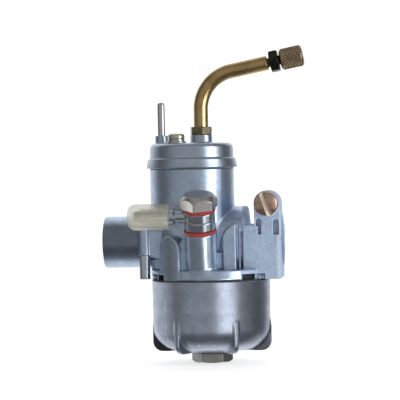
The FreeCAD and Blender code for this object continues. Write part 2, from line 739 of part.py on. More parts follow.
# ---------------------------------------------------------------------------
# Jets
# ---------------------------------------------------------------------------
nj = cyl(2.9, -31.0, -9.0, SLIDE_X).cut(
    [cyl(1.33, -29, 0, SLIDE_X), cyl(1.95, -32, -28.4, SLIDE_X), cylx(0.5, -2, 10, 0, -29.8)]
)
save("needle_jet", nj)
mj = fuse(cyl(2.7, -35.0, -32.6, SLIDE_X), cyl(1.93, -32.6, -28.6, SLIDE_X))
mj = mj.cut([cyl(0.4, -40, -20, SLIDE_X), box(SLIDE_X - 4, SLIDE_X + 4, -0.4, 0.4, -36, -34.1)])
save("main_jet", mj)
ij = fuse(cyl(2.2, -29.2, -27.0, 10.6), cyl(1.88, -27.0, -19.0, 10.6))
ij = ij.cut([cyl(0.25, -40, -10, 10.6), box(6, 14, -0.35, 0.35, -30, -28.4)])
save("idle_jet", ij)

# ---------------------------------------------------------------------------
# Float bowl, gasket, bolt and seal
# ---------------------------------------------------------------------------
CORNER = 9.0
CX, CZ = 23.3 - CORNER, -33.98
slope = math.radians(12.5)
t_out = (CX + CORNER * math.sin(slope), CZ - CORNER * math.cos(slope))
INNER = CORNER - 2.4
t_in = (CX + INNER * math.sin(slope), CZ - INNER * math.cos(slope))
shell = lathe(
    [
        (0, BOWL_BOT),
        (8.0, BOWL_BOT),
        t_out,
        ("arc", arc_mid(CX, CZ, CORNER, -90 + 12.5, 0), (23.3, CZ)),
        (23.6, BOWL_TOP),
        (0, BOWL_TOP),
    ],
    BOWL_X,
)
room = lathe(
    [
        (0, -42.0),
        (9.0, -42.0),
        t_in,
        ("arc", arc_mid(CX, CZ, INNER, -90 + 12.5, 0), (CX + INNER, CZ)),
        (21.2, BOWL_TOP),
        (0, BOWL_TOP),
    ],
    BOWL_X,
)
ribs = []
for deg in (30, 90, 150, -30, -90, -150):
    pts = [(9.0, -43.6), (17.0, -44.0), (19.9, -44.0)]
    for i in range(1, 7):
        t = math.radians(-90 + 15 * i)
        pts.append((19.9 + 3.9 * math.cos(t), -40.1 + 3.9 * math.sin(t)))
    pts += [(23.8, -34.5), (23.3, -31.4), (18.0, -31.4), (9.0, -40.0)]
    w = Part.makePolygon([V(-1.0, r, z) for r, z in pts + pts[:1]])
    rib = Part.Face(w).extrude(V(2.0, 0, 0))
    rib.rotate(V(0, 0, 0), V(0, 0, 1), 180 + deg)
    rib.translate(V(BOWL_X, 0, 0))
    ribs.append(rib)
bowl = shell.fuse(ribs)
bowl = bowl.cut([room, cyl(6.15, -50, -30, BOWL_X), cyl(7.6, BOWL_BOT - 1, -43.5, BOWL_X)])
save("float_bowl", bowl.removeSplitter())

bg = cyl(23.5, BOWL_TOP, FLANGE_BOT, BOWL_X).cut(cyl(21.3, -20, -10, BOWL_X))
bg = bg.cut(box(30.2, 60, -30, 30, -20, -10))
save("bowl_gasket", bg)
save(
    "bowl_bolt_washer",
    cyl(7.5, BOWL_BOT, -43.5, BOWL_X).cut(cyl(6.1, -50, -40, BOWL_X)),
)
bb = hexagon(14.2, -48.4, BOWL_BOT, 6.5, BOWL_X).common(
    lathe([(0, -48.4), (6.9, -48.4), (8.3, -47.5), (8.3, BOWL_BOT), (0, BOWL_BOT)], BOWL_X)
)
bb = fuse(bb, cyl(6.0, BOWL_BOT, -37.0, BOWL_X))
bb = bb.cut(cyl(4.6, -41.5, -36, BOWL_X))
save("bowl_bolt", bb)

# ---------------------------------------------------------------------------
# Clamp screw, vent tube, plug
# ---------------------------------------------------------------------------
hy = -13.4
dome = Part.makeSphere(9.6, V(CLAMP_X, hy - 3.6 + 9.6, CLAMP_Z))
chead = cyly(4.75, hy - 3.7, hy, CLAMP_X, CLAMP_Z).common(dome)
slot = box(-0.9, 0.9, -2, 2, -8, 8)
slot.rotate(V(0, 0, 0), V(0, 1, 0), -19.0)
slot.translate(V(CLAMP_X, hy - 3.7, CLAMP_Z))
chead = chead.cut(slot)
cscrew = fuse(chead, cyly(3.0, hy, 12.0, CLAMP_X, CLAMP_Z))
save("clamp_screw", cscrew)

vt = cyl(2.15, -14.5, -5.1, VENT_X, VENT_Y)
vt = fuse(vt, cyl(2.4, -6.7, -5.1, VENT_X, VENT_Y), cyl(1.6, -5.1, 0.9, VENT_X, VENT_Y))
vt = vt.cut(cyl(1.1, -20, 5, VENT_X, VENT_Y))
save("vent_tube", vt)

plug = fuse(cyl(1.65, -14.0, -11.0, 15.3, -18.6), cone(1.65, 0.9, -11.0, -10.5, 15.3, -18.6))
save("passage_plug", plug)

# ---------------------------------------------------------------------------
# Throttle stop screw, its spring and washer, on the back
# ---------------------------------------------------------------------------
sc = lathe(
    [
        (0, 9.2),
        (0.9, 9.2),
        (1.4, 9.7),
        (1.4, 10.6),
        (2.0, 11.2),
        (2.0, 27.3),
        (3.4, 27.3),
        (3.8, 27.7),
        (3.8, 30.3),
        (3.3, 30.8),
        (0, 30.8),
    ]
)
sc = sc.cut(box(-5, 5, -0.45, 0.45, 29.6, 32))


def stop(shape):
    """Places a shape built along +Z onto the throttle stop screw's axis, +Z becoming +Y."""
    s = shape.copy()
    s.rotate(V(0, 0, 0), V(1, 0, 0), -90)
    s.translate(V(SLIDE_X, 0, -3.0))
    return s


save("idle_screw", stop(sc))
save("idle_screw_washer", stop(cyl(3.4, 26.8, 27.3).cut(cyl(2.05, 0, 40))))
sp = spring(2.75, 0.7, 1.45, 6.8)
sp.translate(V(0, 0, 20.0))
save("idle_screw_spring", stop(sp))

vol = sum(s.Volume for s in SAVED.values())
print(len(SAVED), "nodes, volume %.1f cm3" % (vol / 1000.0))
bb = Part.makeCompound(list(SAVED.values())).BoundBox
print("box", bb)
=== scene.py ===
import math

import bmesh
import bpy
import numpy as np
from mathutils import Matrix, Vector


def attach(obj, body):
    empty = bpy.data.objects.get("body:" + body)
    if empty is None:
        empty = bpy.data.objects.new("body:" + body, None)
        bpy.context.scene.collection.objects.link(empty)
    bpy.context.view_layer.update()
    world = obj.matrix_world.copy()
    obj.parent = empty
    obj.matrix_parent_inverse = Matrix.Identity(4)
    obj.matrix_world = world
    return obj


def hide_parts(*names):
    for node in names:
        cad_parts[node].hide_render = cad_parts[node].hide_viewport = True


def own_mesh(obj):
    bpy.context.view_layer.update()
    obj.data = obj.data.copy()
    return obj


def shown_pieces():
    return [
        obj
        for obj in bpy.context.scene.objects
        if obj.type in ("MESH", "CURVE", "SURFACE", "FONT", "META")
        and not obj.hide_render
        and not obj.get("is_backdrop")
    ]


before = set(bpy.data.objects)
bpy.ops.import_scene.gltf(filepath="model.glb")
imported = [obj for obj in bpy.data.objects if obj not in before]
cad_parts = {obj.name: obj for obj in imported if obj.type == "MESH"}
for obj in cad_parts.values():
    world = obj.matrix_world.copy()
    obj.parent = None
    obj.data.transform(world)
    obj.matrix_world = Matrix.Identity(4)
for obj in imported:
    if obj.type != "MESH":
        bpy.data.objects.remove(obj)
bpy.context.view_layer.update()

MM = 0.001
OX = 36.0  # the chamber's axis lies this far from the frame's origin, along -X


def P(x, y, z):
    """Chamber-centred millimetres to the frame's metres."""
    return Vector(((x - OX) * MM, y * MM, z * MM))


# ---------------------------------------------------------------------------
# Distance fields on a grid, and a surface drawn through their zero level
# ---------------------------------------------------------------------------
class Field:
    """A solid as a signed distance on a grid, negative inside, in millimetres."""

    def __init__(self, lo, hi, h):
        self.lo = np.array(lo, float) - 2 * h
        self.h = h
        self.n = np.ceil((np.array(hi, float) + 2 * h - self.lo) / h).astype(int) + 1
        self.f = np.full(self.n, 6.0, np.float32)

    def window(self, lo, hi):
        a = np.clip(np.floor((np.array(lo, float) - self.lo) / self.h).astype(int), 0, self.n - 1)
        b = np.clip(np.ceil((np.array(hi, float) - self.lo) / self.h).astype(int) + 1, 1, self.n)
        x, y, z = [
            (self.lo[i] + self.h * np.arange(a[i], b[i])).astype(np.float32) for i in range(3)
        ]
        sl = (slice(a[0], b[0]), slice(a[1], b[1]), slice(a[2], b[2]))
        return sl, x[:, None, None], y[None, :, None], z[None, None, :]

    def add(self, shape, r=0.0, pad=2.5):
        """Joins a shape on, with a fillet of radius r where it meets what is there."""
        fn, lo, hi = shape
        p = pad + r
        sl, x, y, z = self.window(np.array(lo) - p, np.array(hi) + p)
        a, d = self.f[sl], fn(x, y, z)
        if r > 0:
            u, v = np.maximum(r - a, 0), np.maximum(r - d, 0)
            out = np.maximum(r, np.minimum(a, d)) - np.sqrt(u * u + v * v)
        else:
            out = np.minimum(a, d)
        self.f[sl] = out
        return self

    def cut(self, shape, r=0.0, pad=2.5):
        """Takes a shape away, rounding the edge it leaves to radius r."""
        fn, lo, hi = shape
        p = pad + r
        sl, x, y, z = self.window(np.array(lo) - p, np.array(hi) + p)
        a, d = self.f[sl], -fn(x, y, z)
        if r > 0:
            u, v = np.maximum(r + a, 0), np.maximum(r + d, 0)
            out = np.minimum(-r, np.maximum(a, d)) + np.sqrt(u * u + v * v)
        else:
            out = np.maximum(a, d)
        self.f[sl] = out
        return self

    def surface(self):
        """Vertices in millimetres and quads of the zero level: one vertex per crossed cell, at the mean of its edge crossings."""
        f = self.f
        f[0], f[-1] = 5.0, 5.0
        f[:, 0], f[:, -1] = 5.0, 5.0
        f[:, :, 0], f[:, :, -1] = 5.0, 5.0
        s = f < 0
        some = np.zeros(tuple(np.array(f.shape) - 1), bool)
        every = np.ones_like(some)
        for i in (0, 1):
            for j in (0, 1):
                for k in (0, 1):
                    c = s[
                        i : s.shape[0] - 1 + i, j : s.shape[1] - 1 + j, k : s.shape[2] - 1 + k
                    ]
                    some |= c
                    every &= c
        act = some & ~every
        ii, jj, kk = np.nonzero(act)
        n = len(ii)
        idx = np.full(act.shape, -1, np.int32)
        idx[act] = np.arange(n, dtype=np.int32)
        pos = np.zeros((n, 3))
        cnt = np.zeros(n)
        for axis in range(3):
            o1, o2 = [x for x in range(3) if x != axis]
            for u in (0, 1):
                for v in (0, 1):
                    off = [0, 0, 0]
                    off[o1], off[o2] = u, v
                    a = f[ii + off[0], jj + off[1], kk + off[2]]
                    end = list(off)
                    end[axis] = 1
                    b = f[ii + end[0], jj + end[1], kk + end[2]]
                    m = (a < 0) != (b < 0)
                    t = np.where(m, a / np.where(m, a - b, 1), 0)
                    for c in range(3):
                        pos[:, c] += np.where(m, (t if c == axis else off[c]), 0)
                    cnt += m
        pos /= np.maximum(cnt, 1)[:, None]
        pos += np.stack([ii, jj, kk], 1)
        verts = self.lo + pos * self.h
        quads = []
        for axis in range(3):
            o1, o2 = (axis + 1) % 3, (axis + 2) % 3
            lo_s = [slice(None)] * 3
            hi_s = [slice(None)] * 3
            lo_s[axis], hi_s[axis] = slice(0, -1), slice(1, None)
            e = s[tuple(lo_s)] != s[tuple(hi_s)]
            g = [None] * 3
            g[0], g[1], g[2] = np.nonzero(e)
            ok = (g[o1] > 0) & (g[o2] > 0) & (g[o1] < f.shape[o1] - 1) & (g[o2] < f.shape[o2] - 1)
            g = [q[ok] for q in g]
            inside = s[g[0], g[1], g[2]]

            def cell(d1, d2):
                q = [x.copy() for x in g]
                q[o1] -= d1
                q[o2] -= d2
                return idx[q[0], q[1], q[2]]

            quad = np.stack([cell(1, 1), cell(0, 1), cell(0, 0), cell(1, 0)], 1)
            quad[~inside] = quad[~inside][:, ::-1]
            quads.append(quad)
        return verts, np.concatenate(quads)


def _caps(d2, w, rd):
    """An outline's distance d2 and a slab's distance w as one extruded solid with edges rounded to rd."""
    a, b = d2 + rd, w + rd
    return (
        np.minimum(np.maximum(a, b), 0)
        + np.sqrt(np.maximum(a, 0) ** 2 + np.maximum(b, 0) ** 2)
        - rd
    )


def cylz(x0, y0, r, z0, z1, rd=0.15):
    def fn(x, y, z):
        return _caps(
            np.sqrt((x - x0) ** 2 + (y - y0) ** 2) - r, np.abs(z - (z0 + z1) / 2) - (z1 - z0) / 2, rd
        )

    return fn, (x0 - r, y0 - r, z0), (x0 + r, y0 + r, z1)


def cylx(y0, z0, r, x0, x1, rd=0.15):
    def fn(x, y, z):
        return _caps(
            np.sqrt((y - y0) ** 2 + (z - z0) ** 2) - r, np.abs(x - (x0 + x1) / 2) - (x1 - x0) / 2, rd
        )

    return fn, (x0, y0 - r, z0 - r), (x1, y0 + r, z0 + r)


def cyly(x0, z0, r, y0, y1, rd=0.15):
    def fn(x, y, z):
        return _caps(
            np.sqrt((x - x0) ** 2 + (z - z0) ** 2) - r, np.abs(y - (y0 + y1) / 2) - (y1 - y0) / 2, rd
        )

    return fn, (x0 - r, y0, z0 - r), (x0 + r, y1, z0 + r)


def cone(p, q, r0, r1, rd=0.1):
    """Round solid from p (radius r0) to q (radius r1)."""
    p, q = np.array(p, float), np.array(q, float)
    length = np.linalg.norm(q - p)
    a = (q - p) / length
    c = math.cos(math.atan2(abs(r1 - r0), length))

    def fn(x, y, z):
        dx, dy, dz = x - p[0], y - p[1], z - p[2]
        s = dx * a[0] + dy * a[1] + dz * a[2]
        r = np.sqrt(np.maximum(dx * dx + dy * dy + dz * dz - s * s, 0))
        wall = (r - (r0 + (r1 - r0) * s / length)) * c
        return _caps(wall, np.abs(s - length / 2) - length / 2, rd)

    m = max(r0, r1)
    return fn, np.minimum(p, q) - m, np.maximum(p, q) + m


def box(x0, x1, y0, y1, z0, z1, rd=0.15):
    c = ((x0 + x1) / 2, (y0 + y1) / 2, (z0 + z1) / 2)
    e = ((x1 - x0) / 2 - rd, (y1 - y0) / 2 - rd, (z1 - z0) / 2 - rd)

    def fn(x, y, z):
        a, b, d = np.abs(x - c[0]) - e[0], np.abs(y - c[1]) - e[1], np.abs(z - c[2]) - e[2]
        return (
            np.sqrt(np.maximum(a, 0) ** 2 + np.maximum(b, 0) ** 2 + np.maximum(d, 0) ** 2)
            + np.minimum(np.maximum(np.maximum(a, b), d), 0)
            - rd
        )

    return fn, (x0, y0, z0), (x1, y1, z1)


def poly2(px, py, pts):
    """Signed distance in the plane to a closed outline."""
    d2, odd = None, None
    n = len(pts)
    for i in range(n):
        ax, ay = pts[i]
        bx, by = pts[(i + 1) % n]
        ex, ey = bx - ax, by - ay
        wx, wy = px - ax, py - ay
        t = np.clip((wx * ex + wy * ey) / (ex * ex + ey * ey), 0, 1)
        q = (wx - ex * t) ** 2 + (wy - ey * t) ** 2
        d2 = q if d2 is None else np.minimum(d2, q)
        if ay != by:
            c = ((ay > py) != (by > py)) & (px < (bx - ax) * (py - ay) / (by - ay) + ax)
            odd = c if odd is None else odd ^ c
    return np.sqrt(d2) * np.where(odd, -1.0, 1.0)


def prism(axis, pts, a0, a1, rd=0.15, corner=0.0):
    """Outline pushed along an axis ('x': (y, z), 'y': (x, z), 'z': (x, y)), its corners rounded to corner."""
    xs, ys = [p[0] for p in pts], [p[1] for p in pts]

    def fn(x, y, z):
        u, v, w = {"x": (y, z, x), "y": (x, z, y), "z": (x, y, z)}[axis]
        return _caps(
            poly2(u, v, pts) - corner, np.abs(w - (a0 + a1) / 2) - (a1 - a0) / 2, rd
        )

    lo = {"x": (a0, min(xs), min(ys)), "y": (min(xs), a0, min(ys)), "z": (min(xs), min(ys), a0)}[axis]
    hi = {"x": (a1, max(xs), max(ys)), "y": (max(xs), a1, max(ys)), "z": (max(xs), max(ys), a1)}[axis]
    return fn, np.array(lo) - corner, np.array(hi) + corner


def lathe_f(pts, x0=0.0, y0=0.0, rd=0.0):
    """Outline in (r, z) turned about an upright axis."""
    rs, zs = [p[0] for p in pts], [p[1] for p in pts]
    m = max(rs) + rd

    def fn(x, y, z):
        return poly2(np.sqrt((x - x0) ** 2 + (y - y0) ** 2), z, pts) - rd

    return fn, (x0 - m, y0 - m, min(zs) - rd), (x0 + m, y0 + m, max(zs) + rd)


def both(a, b, r=0.0):
    """What two shapes share, its edge rounded to r."""
    lo, hi = np.maximum(a[1], b[1]), np.minimum(a[2], b[2])

    def fn(x, y, z):
        p, q = a[0](x, y, z), b[0](x, y, z)
        if r > 0:
            return np.minimum(-r, np.maximum(p, q)) + np.sqrt(
                np.maximum(r + p, 0) ** 2 + np.maximum(r + q, 0) ** 2
            )
        return np.maximum(p, q)

    return fn, lo, hi


def less(a, b):
    def fn(x, y, z):
        return np.maximum(a[0](x, y, z), -b[0](x, y, z))

    return fn, a[1], a[2]


def turned(shape, deg, x0=0.0, y0=0.0):
    """A shape turned about the upright line through (x0, y0)."""
    c, s = math.cos(math.radians(deg)), math.sin(math.radians(deg))

    def fn(x, y, z):
        u, v = x - x0, y - y0
        return shape[0](x0 + u * c + v * s, y0 - u * s + v * c, z + 0 * u)

    cx, cy = [(shape[1][i] + shape[2][i]) / 2 for i in (0, 1)]
    m = math.hypot(shape[2][0] - cx, shape[2][1] - cy)
    u, v = cx - x0, cy - y0
    nx, ny = x0 + u * c - v * s, y0 + u * s + v * c
    return fn, (nx - m, ny - m, shape[1][2]), (nx + m, ny + m, shape[2][2])


def hexagon(af, z0, z1, turn=0.0, x0=0.0, y0=0.0, rd=0.1):
    rc = af / math.sqrt(3.0)
    pts = [
        (
            x0 + rc * math.cos(math.radians(turn + 60 * i)),
            y0 + rc * math.sin(math.radians(turn + 60 * i)),
        )
        for i in range(6)
    ]
    return prism("z", pts, z0, z1, rd)


# ---------------------------------------------------------------------------
# Meshes
# ---------------------------------------------------------------------------
def obj_from(name, verts_mm, faces, smooth=True, place=None):
    """A mesh object from millimetre points (chamber-centred unless place maps them there)."""
    v = np.asarray(verts_mm, float)
    if place is not None:
        v = v @ place[0].T + place[1]
    v = (v - np.array([OX, 0, 0])) * MM
    me = bpy.data.meshes.new(name)
    if isinstance(faces, np.ndarray):
        me.vertices.add(len(v))
        me.vertices.foreach_set("co", v.astype(np.float32).ravel())
        me.loops.add(faces.size)
        me.loops.foreach_set("vertex_index", faces.astype(np.int32).ravel())
        me.polygons.add(len(faces))
        me.polygons.foreach_set(
            "loop_start", np.arange(0, faces.size, faces.shape[1], dtype=np.int32)
        )
        me.update(calc_edges=True)
    else:
        me.from_pydata([tuple(p) for p in v], [], [tuple(f) for f in faces])
        me.update()
    me.validate()
    if smooth:
        me.polygons.foreach_set("use_smooth", np.ones(len(me.polygons), bool))
    o = bpy.data.objects.new(name, me)
    bpy.context.scene.collection.objects.link(o)
    return o


def field_obj(name, field, place=None):
    v, q = field.surface()
    return obj_from(name, v, q, place=place)


def dense(profile, step):
    """Adds points to a closed or open profile so that no step is longer than given."""
    out = []
    for i in range(len(profile)):
        a = profile[i]
        b = profile[(i + 1) % len(profile)]
        out.append(a)
        n = int(math.hypot(b[0] - a[0], b[1] - a[1]) / step)
        for k in range(1, n):
            out.append((a[0] + (b[0] - a[0]) * k / n, a[1] + (b[1] - a[1]) * k / n))
    return out


def rounded(pts, radius, steps=4):
    """Closed outline with its corners rounded. radius is a number or one per point."""
    n = len(pts)
    rs = radius if isinstance(radius, (list, tuple)) else [radius] * n
    out = []
    for i in range(n):
        a, b, c = (np.array(pts[(i + k - 1) % n], float) for k in range(3))
        r = rs[i]
        u, v = a - b, c - b
        lu, lv = np.linalg.norm(u), np.linalg.norm(v)
        u, v = u / lu, v / lv
        cosang = float(np.clip(u @ v, -1, 1))
        ang = math.acos(cosang)
        if r <= 0 or ang > math.pi - 0.03 or ang < 0.02:
            out.append(tuple(b))
            continue
        t = min(r / math.tan(ang / 2), 0.48 * lu, 0.48 * lv)
        rr = t * math.tan(ang / 2)
        centre = b + (u + v) / np.linalg.norm(u + v) * (rr / math.sin(ang / 2))
        p, q = b + u * t, b + v * t
        a0 = math.atan2(*(p - centre)[::-1])
        a1 = math.atan2(*(q - centre)[::-1])
        d = (a1 - a0 + math.pi) % (2 * math.pi) - math.pi
        for k in range(steps + 1):
            w = a0 + d * k / steps
            out.append((centre[0] + rr * math.cos(w), centre[1] + rr * math.sin(w)))
    return out


def ring_mesh(profile, segs, wobble=None):
    """Turns a closed outline in (r, z), all r > 0, about Z. wobble(theta, r, z) gives a change of radius."""
    prof = np.array(profile, float)
    m = len(prof)
    th = np.linspace(0, 2 * math.pi, segs, endpoint=False)
    r = np.repeat(prof[:, 0][None, :], segs, 0)
    z = np.repeat(prof[:, 1][None, :], segs, 0)
    if wobble is not None:
        r = r + wobble(th[:, None], r, z)
    v = np.stack([r * np.cos(th)[:, None], r * np.sin(th)[:, None], z], -1).reshape(-1, 3)
    i = np.arange(segs)[:, None]
    j = np.arange(m)[None, :]
    a = i * m + j
    b = ((i + 1) % segs) * m + j
    c = ((i + 1) % segs) * m + (j + 1) % m
    d = i * m + (j + 1) % m
    q = np.stack([a, b, c, d], -1).reshape(-1, 4)
    area = 0.5 * float(
        np.sum(prof[:, 0] * np.roll(prof[:, 1], -1) - np.roll(prof[:, 0], -1) * prof[:, 1])
    )
    if area < 0:
        q = q[:, ::-1]
    return v, q


def solid_lathe(profile, segs):
    """Turns an open outline in (r, z) that starts and ends on the axis (r = 0) about Z."""
    prof = [p for p in profile]
    start, end = prof[0], prof[-1]
    mid = prof[1:-1]
    m = len(mid)
    th = np.linspace(0, 2 * math.pi, segs, endpoint=False)
    v = [(r * math.cos(t), r * math.sin(t), z) for t in th for r, z in mid]
    v.append((0, 0, start[1]))
    v.append((0, 0, end[1]))
    faces = []
    up = 1 if end[1] > start[1] else -1
    for i in range(segs):
        n = (i + 1) % segs
        for j in range(m - 1):
            f = (i * m + j, n * m + j, n * m + j + 1, i * m + j + 1)
            faces.append(f if up > 0 else f[::-1])
        f = (len(v) - 2, n * m, i * m)
        faces.append(f if up > 0 else f[::-1])
        f = (len(v) - 1, i * m + m - 1, n * m + m - 1)
        faces.append(f if up > 0 else f[::-1])
    return np.array(v), faces


def sweep(points, normals, binormals, outline, closed_ends=True):
    """Carries a closed outline (u, v) along points, with end caps."""
    m, n = len(outline), len(points)
    o = np.array(outline, float)
    v = (
        np.array(points)[:, None, :]
        + np.array(normals)[:, None, :] * o[None, :, 0:1]
        + np.array(binormals)[:, None, :] * o[None, :, 1:2]
    ).reshape(-1, 3)
    faces = []
    for i in range(n - 1):
        for j in range(m):
            k = (j + 1) % m
            faces.append((i * m + j, i * m + k, (i + 1) * m + k, (i + 1) * m + j))
    if closed_ends:
        faces.append(tuple(range(m))[::-1])
        faces.append(tuple(range((n - 1) * m, n * m)))
    return v, faces


def coil(radius, wire, pitch, length, segs=30, sides=10):
    """Coil spring standing on z = 0 about Z."""
    up = wire / 2 + 0.03
    turns = max(2, round((length - 2 * up) / pitch))
    pitch = (length - 2 * up) / turns
    pts, nor, bi = [], [], []
    total = turns * segs
    a = math.atan2(pitch, 2 * math.pi * radius)
    for i in range(total + 1):
        t = 2 * math.pi * i / segs
        pts.append((radius * math.cos(t), radius * math.sin(t), up + pitch * i / segs))
        nor.append((math.cos(t), math.sin(t), 0))
        tan = np.array([-math.sin(t) * math.cos(a), math.cos(t) * math.cos(a), math.sin(a)])
        bi.append(np.cross(tan, nor[-1]))
    outline = [
        (wire / 2 * math.cos(2 * math.pi * k / sides), wire / 2 * math.sin(2 * math.pi * k / sides))
        for k in range(sides)
    ]
    return sweep(pts, nor, bi, outline)


def rot(axis, deg):
    return np.array(Matrix.Rotation(math.radians(deg), 3, axis))


IDENT = (np.eye(3), np.zeros(3))


def fix_normals(o):
    bm = bmesh.new()
    bm.from_mesh(o.data)
    bmesh.ops.recalc_face_normals(bm, faces=bm.faces)
    bm.to_mesh(o.data)
    bm.free()
    return o


def sharp(o, deg=32.0):
    """Smooth shading, with edges over the angle kept crisp."""
    o.data.polygons.foreach_set("use_smooth", np.ones(len(o.data.polygons), bool))
    o.data.set_sharp_from_angle(angle=math.radians(deg))
    return o


def bevel(o, width_mm, segments=2, deg=30.0):
    m = o.modifiers.new("edge", "BEVEL")
    m.width = width_mm * MM
    m.segments = segments
    m.limit_method = "ANGLE"
    m.angle_limit = math.radians(deg)
    m.harden_normals = False
    return o


def merge(name, *objs):
    """Several meshes as one object."""
    bm = bmesh.new()
    for o in objs:
        bm.from_mesh(o.data)
    me = bpy.data.meshes.new(name)
    bm.to_mesh(me)
    bm.free()
    for o in objs:
        bpy.data.objects.remove(o)
    o = bpy.data.objects.new(name, me)
    bpy.context.scene.collection.objects.link(o)
    me.polygons.foreach_set("use_smooth", np.ones(len(me.polygons), bool))
    return o


# ---------------------------------------------------------------------------
# Dimensions shared with the CAD model, chamber-centred millimetres
# ---------------------------------------------------------------------------
BOWL_X = 6.9
SLIDE_X = 4.0
CHOKE_X = -12.0
INLET_P = np.array([5.4, -17.95, -11.0])
TILT = 16.0
CLAMP_X, CLAMP_Z = 30.6, 14.6
VENT_X, VENT_Y = -18.15, -11.2
NEAR, FAR = (-4.9, -9.6), (2.2, 11.5)
BEND_R, BEND_Z, BEND_DEG, STRAIGHT = 15.4, 52.4, 78.7, 15.0
S0 = 15.7

INLET = (rot("X", TILT), INLET_P)


def inlet_pt(s, x=0.0):
    t = math.radians(TILT)
    return (INLET_P[0] + x, INLET_P[1] - s * math.sin(t), INLET_P[2] + s * math.cos(t))


def inlet_cyl(r, s0, s1, rd=0.15):
    return cone(inlet_pt(s0), inlet_pt(s1), r, r, rd)


_a = math.radians(BEND_DEG)
D = np.array([math.sin(_a), 0, math.cos(_a)])
P3 = np.array([SLIDE_X + BEND_R - BEND_R * math.cos(_a), 0, BEND_Z + BEND_R * math.sin(_a)])
P4 = P3 + D * STRAIGHT
ALONG = (rot("Y", BEND_DEG), P4)
STOP = (rot("X", -90), np.array([SLIDE_X, 0, -3.0]))


# ---------------------------------------------------------------------------
# Body casting
# ---------------------------------------------------------------------------
def radial_box(deg, width, r0, r1, z0, z1, top=None, rd=0.3):
    """Upright plate at an angle about the bowl's axis, from -Y towards +X; its top may be round."""
    w = width / 2
    if top == "round":
        pts = [(-w, z0), (w, z0)]
        for i in range(13):
            t = math.pi * i / 12
            pts.append((w * math.cos(t), z1 - w + w * math.sin(t)))
        s = prism("y", [(BOWL_X + x, z) for x, z in pts], -r1, -r0, rd)
    else:
        s = box(BOWL_X - w, BOWL_X + w, -r1, -r0, z0, z1, rd)
    return turned(s, deg, BOWL_X, 0)


def wedge(a0, a1, r0, r1, z0, z1):
    """Part of a ring about the bowl's axis."""

    def fn(x, y, z):
        r = np.sqrt((x - BOWL_X) ** 2 + y * y)
        mid, half = math.radians((a0 + a1) / 2), math.radians((a1 - a0) / 2)
        u = (x - BOWL_X) * math.sin(mid) - y * math.cos(mid)
        v = (x - BOWL_X) * math.cos(mid) + y * math.sin(mid)
        side = np.abs(v) * math.cos(half) - u * math.sin(half)
        d2 = np.maximum(np.maximum(r - r1, r0 - r), side)
        return _caps(d2, np.abs(z - (z0 + z1) / 2) - (z1 - z0) / 2, 0.05)

    return fn, (BOWL_X - r1, -r1, z0), (BOWL_X + r1, r1, z1)


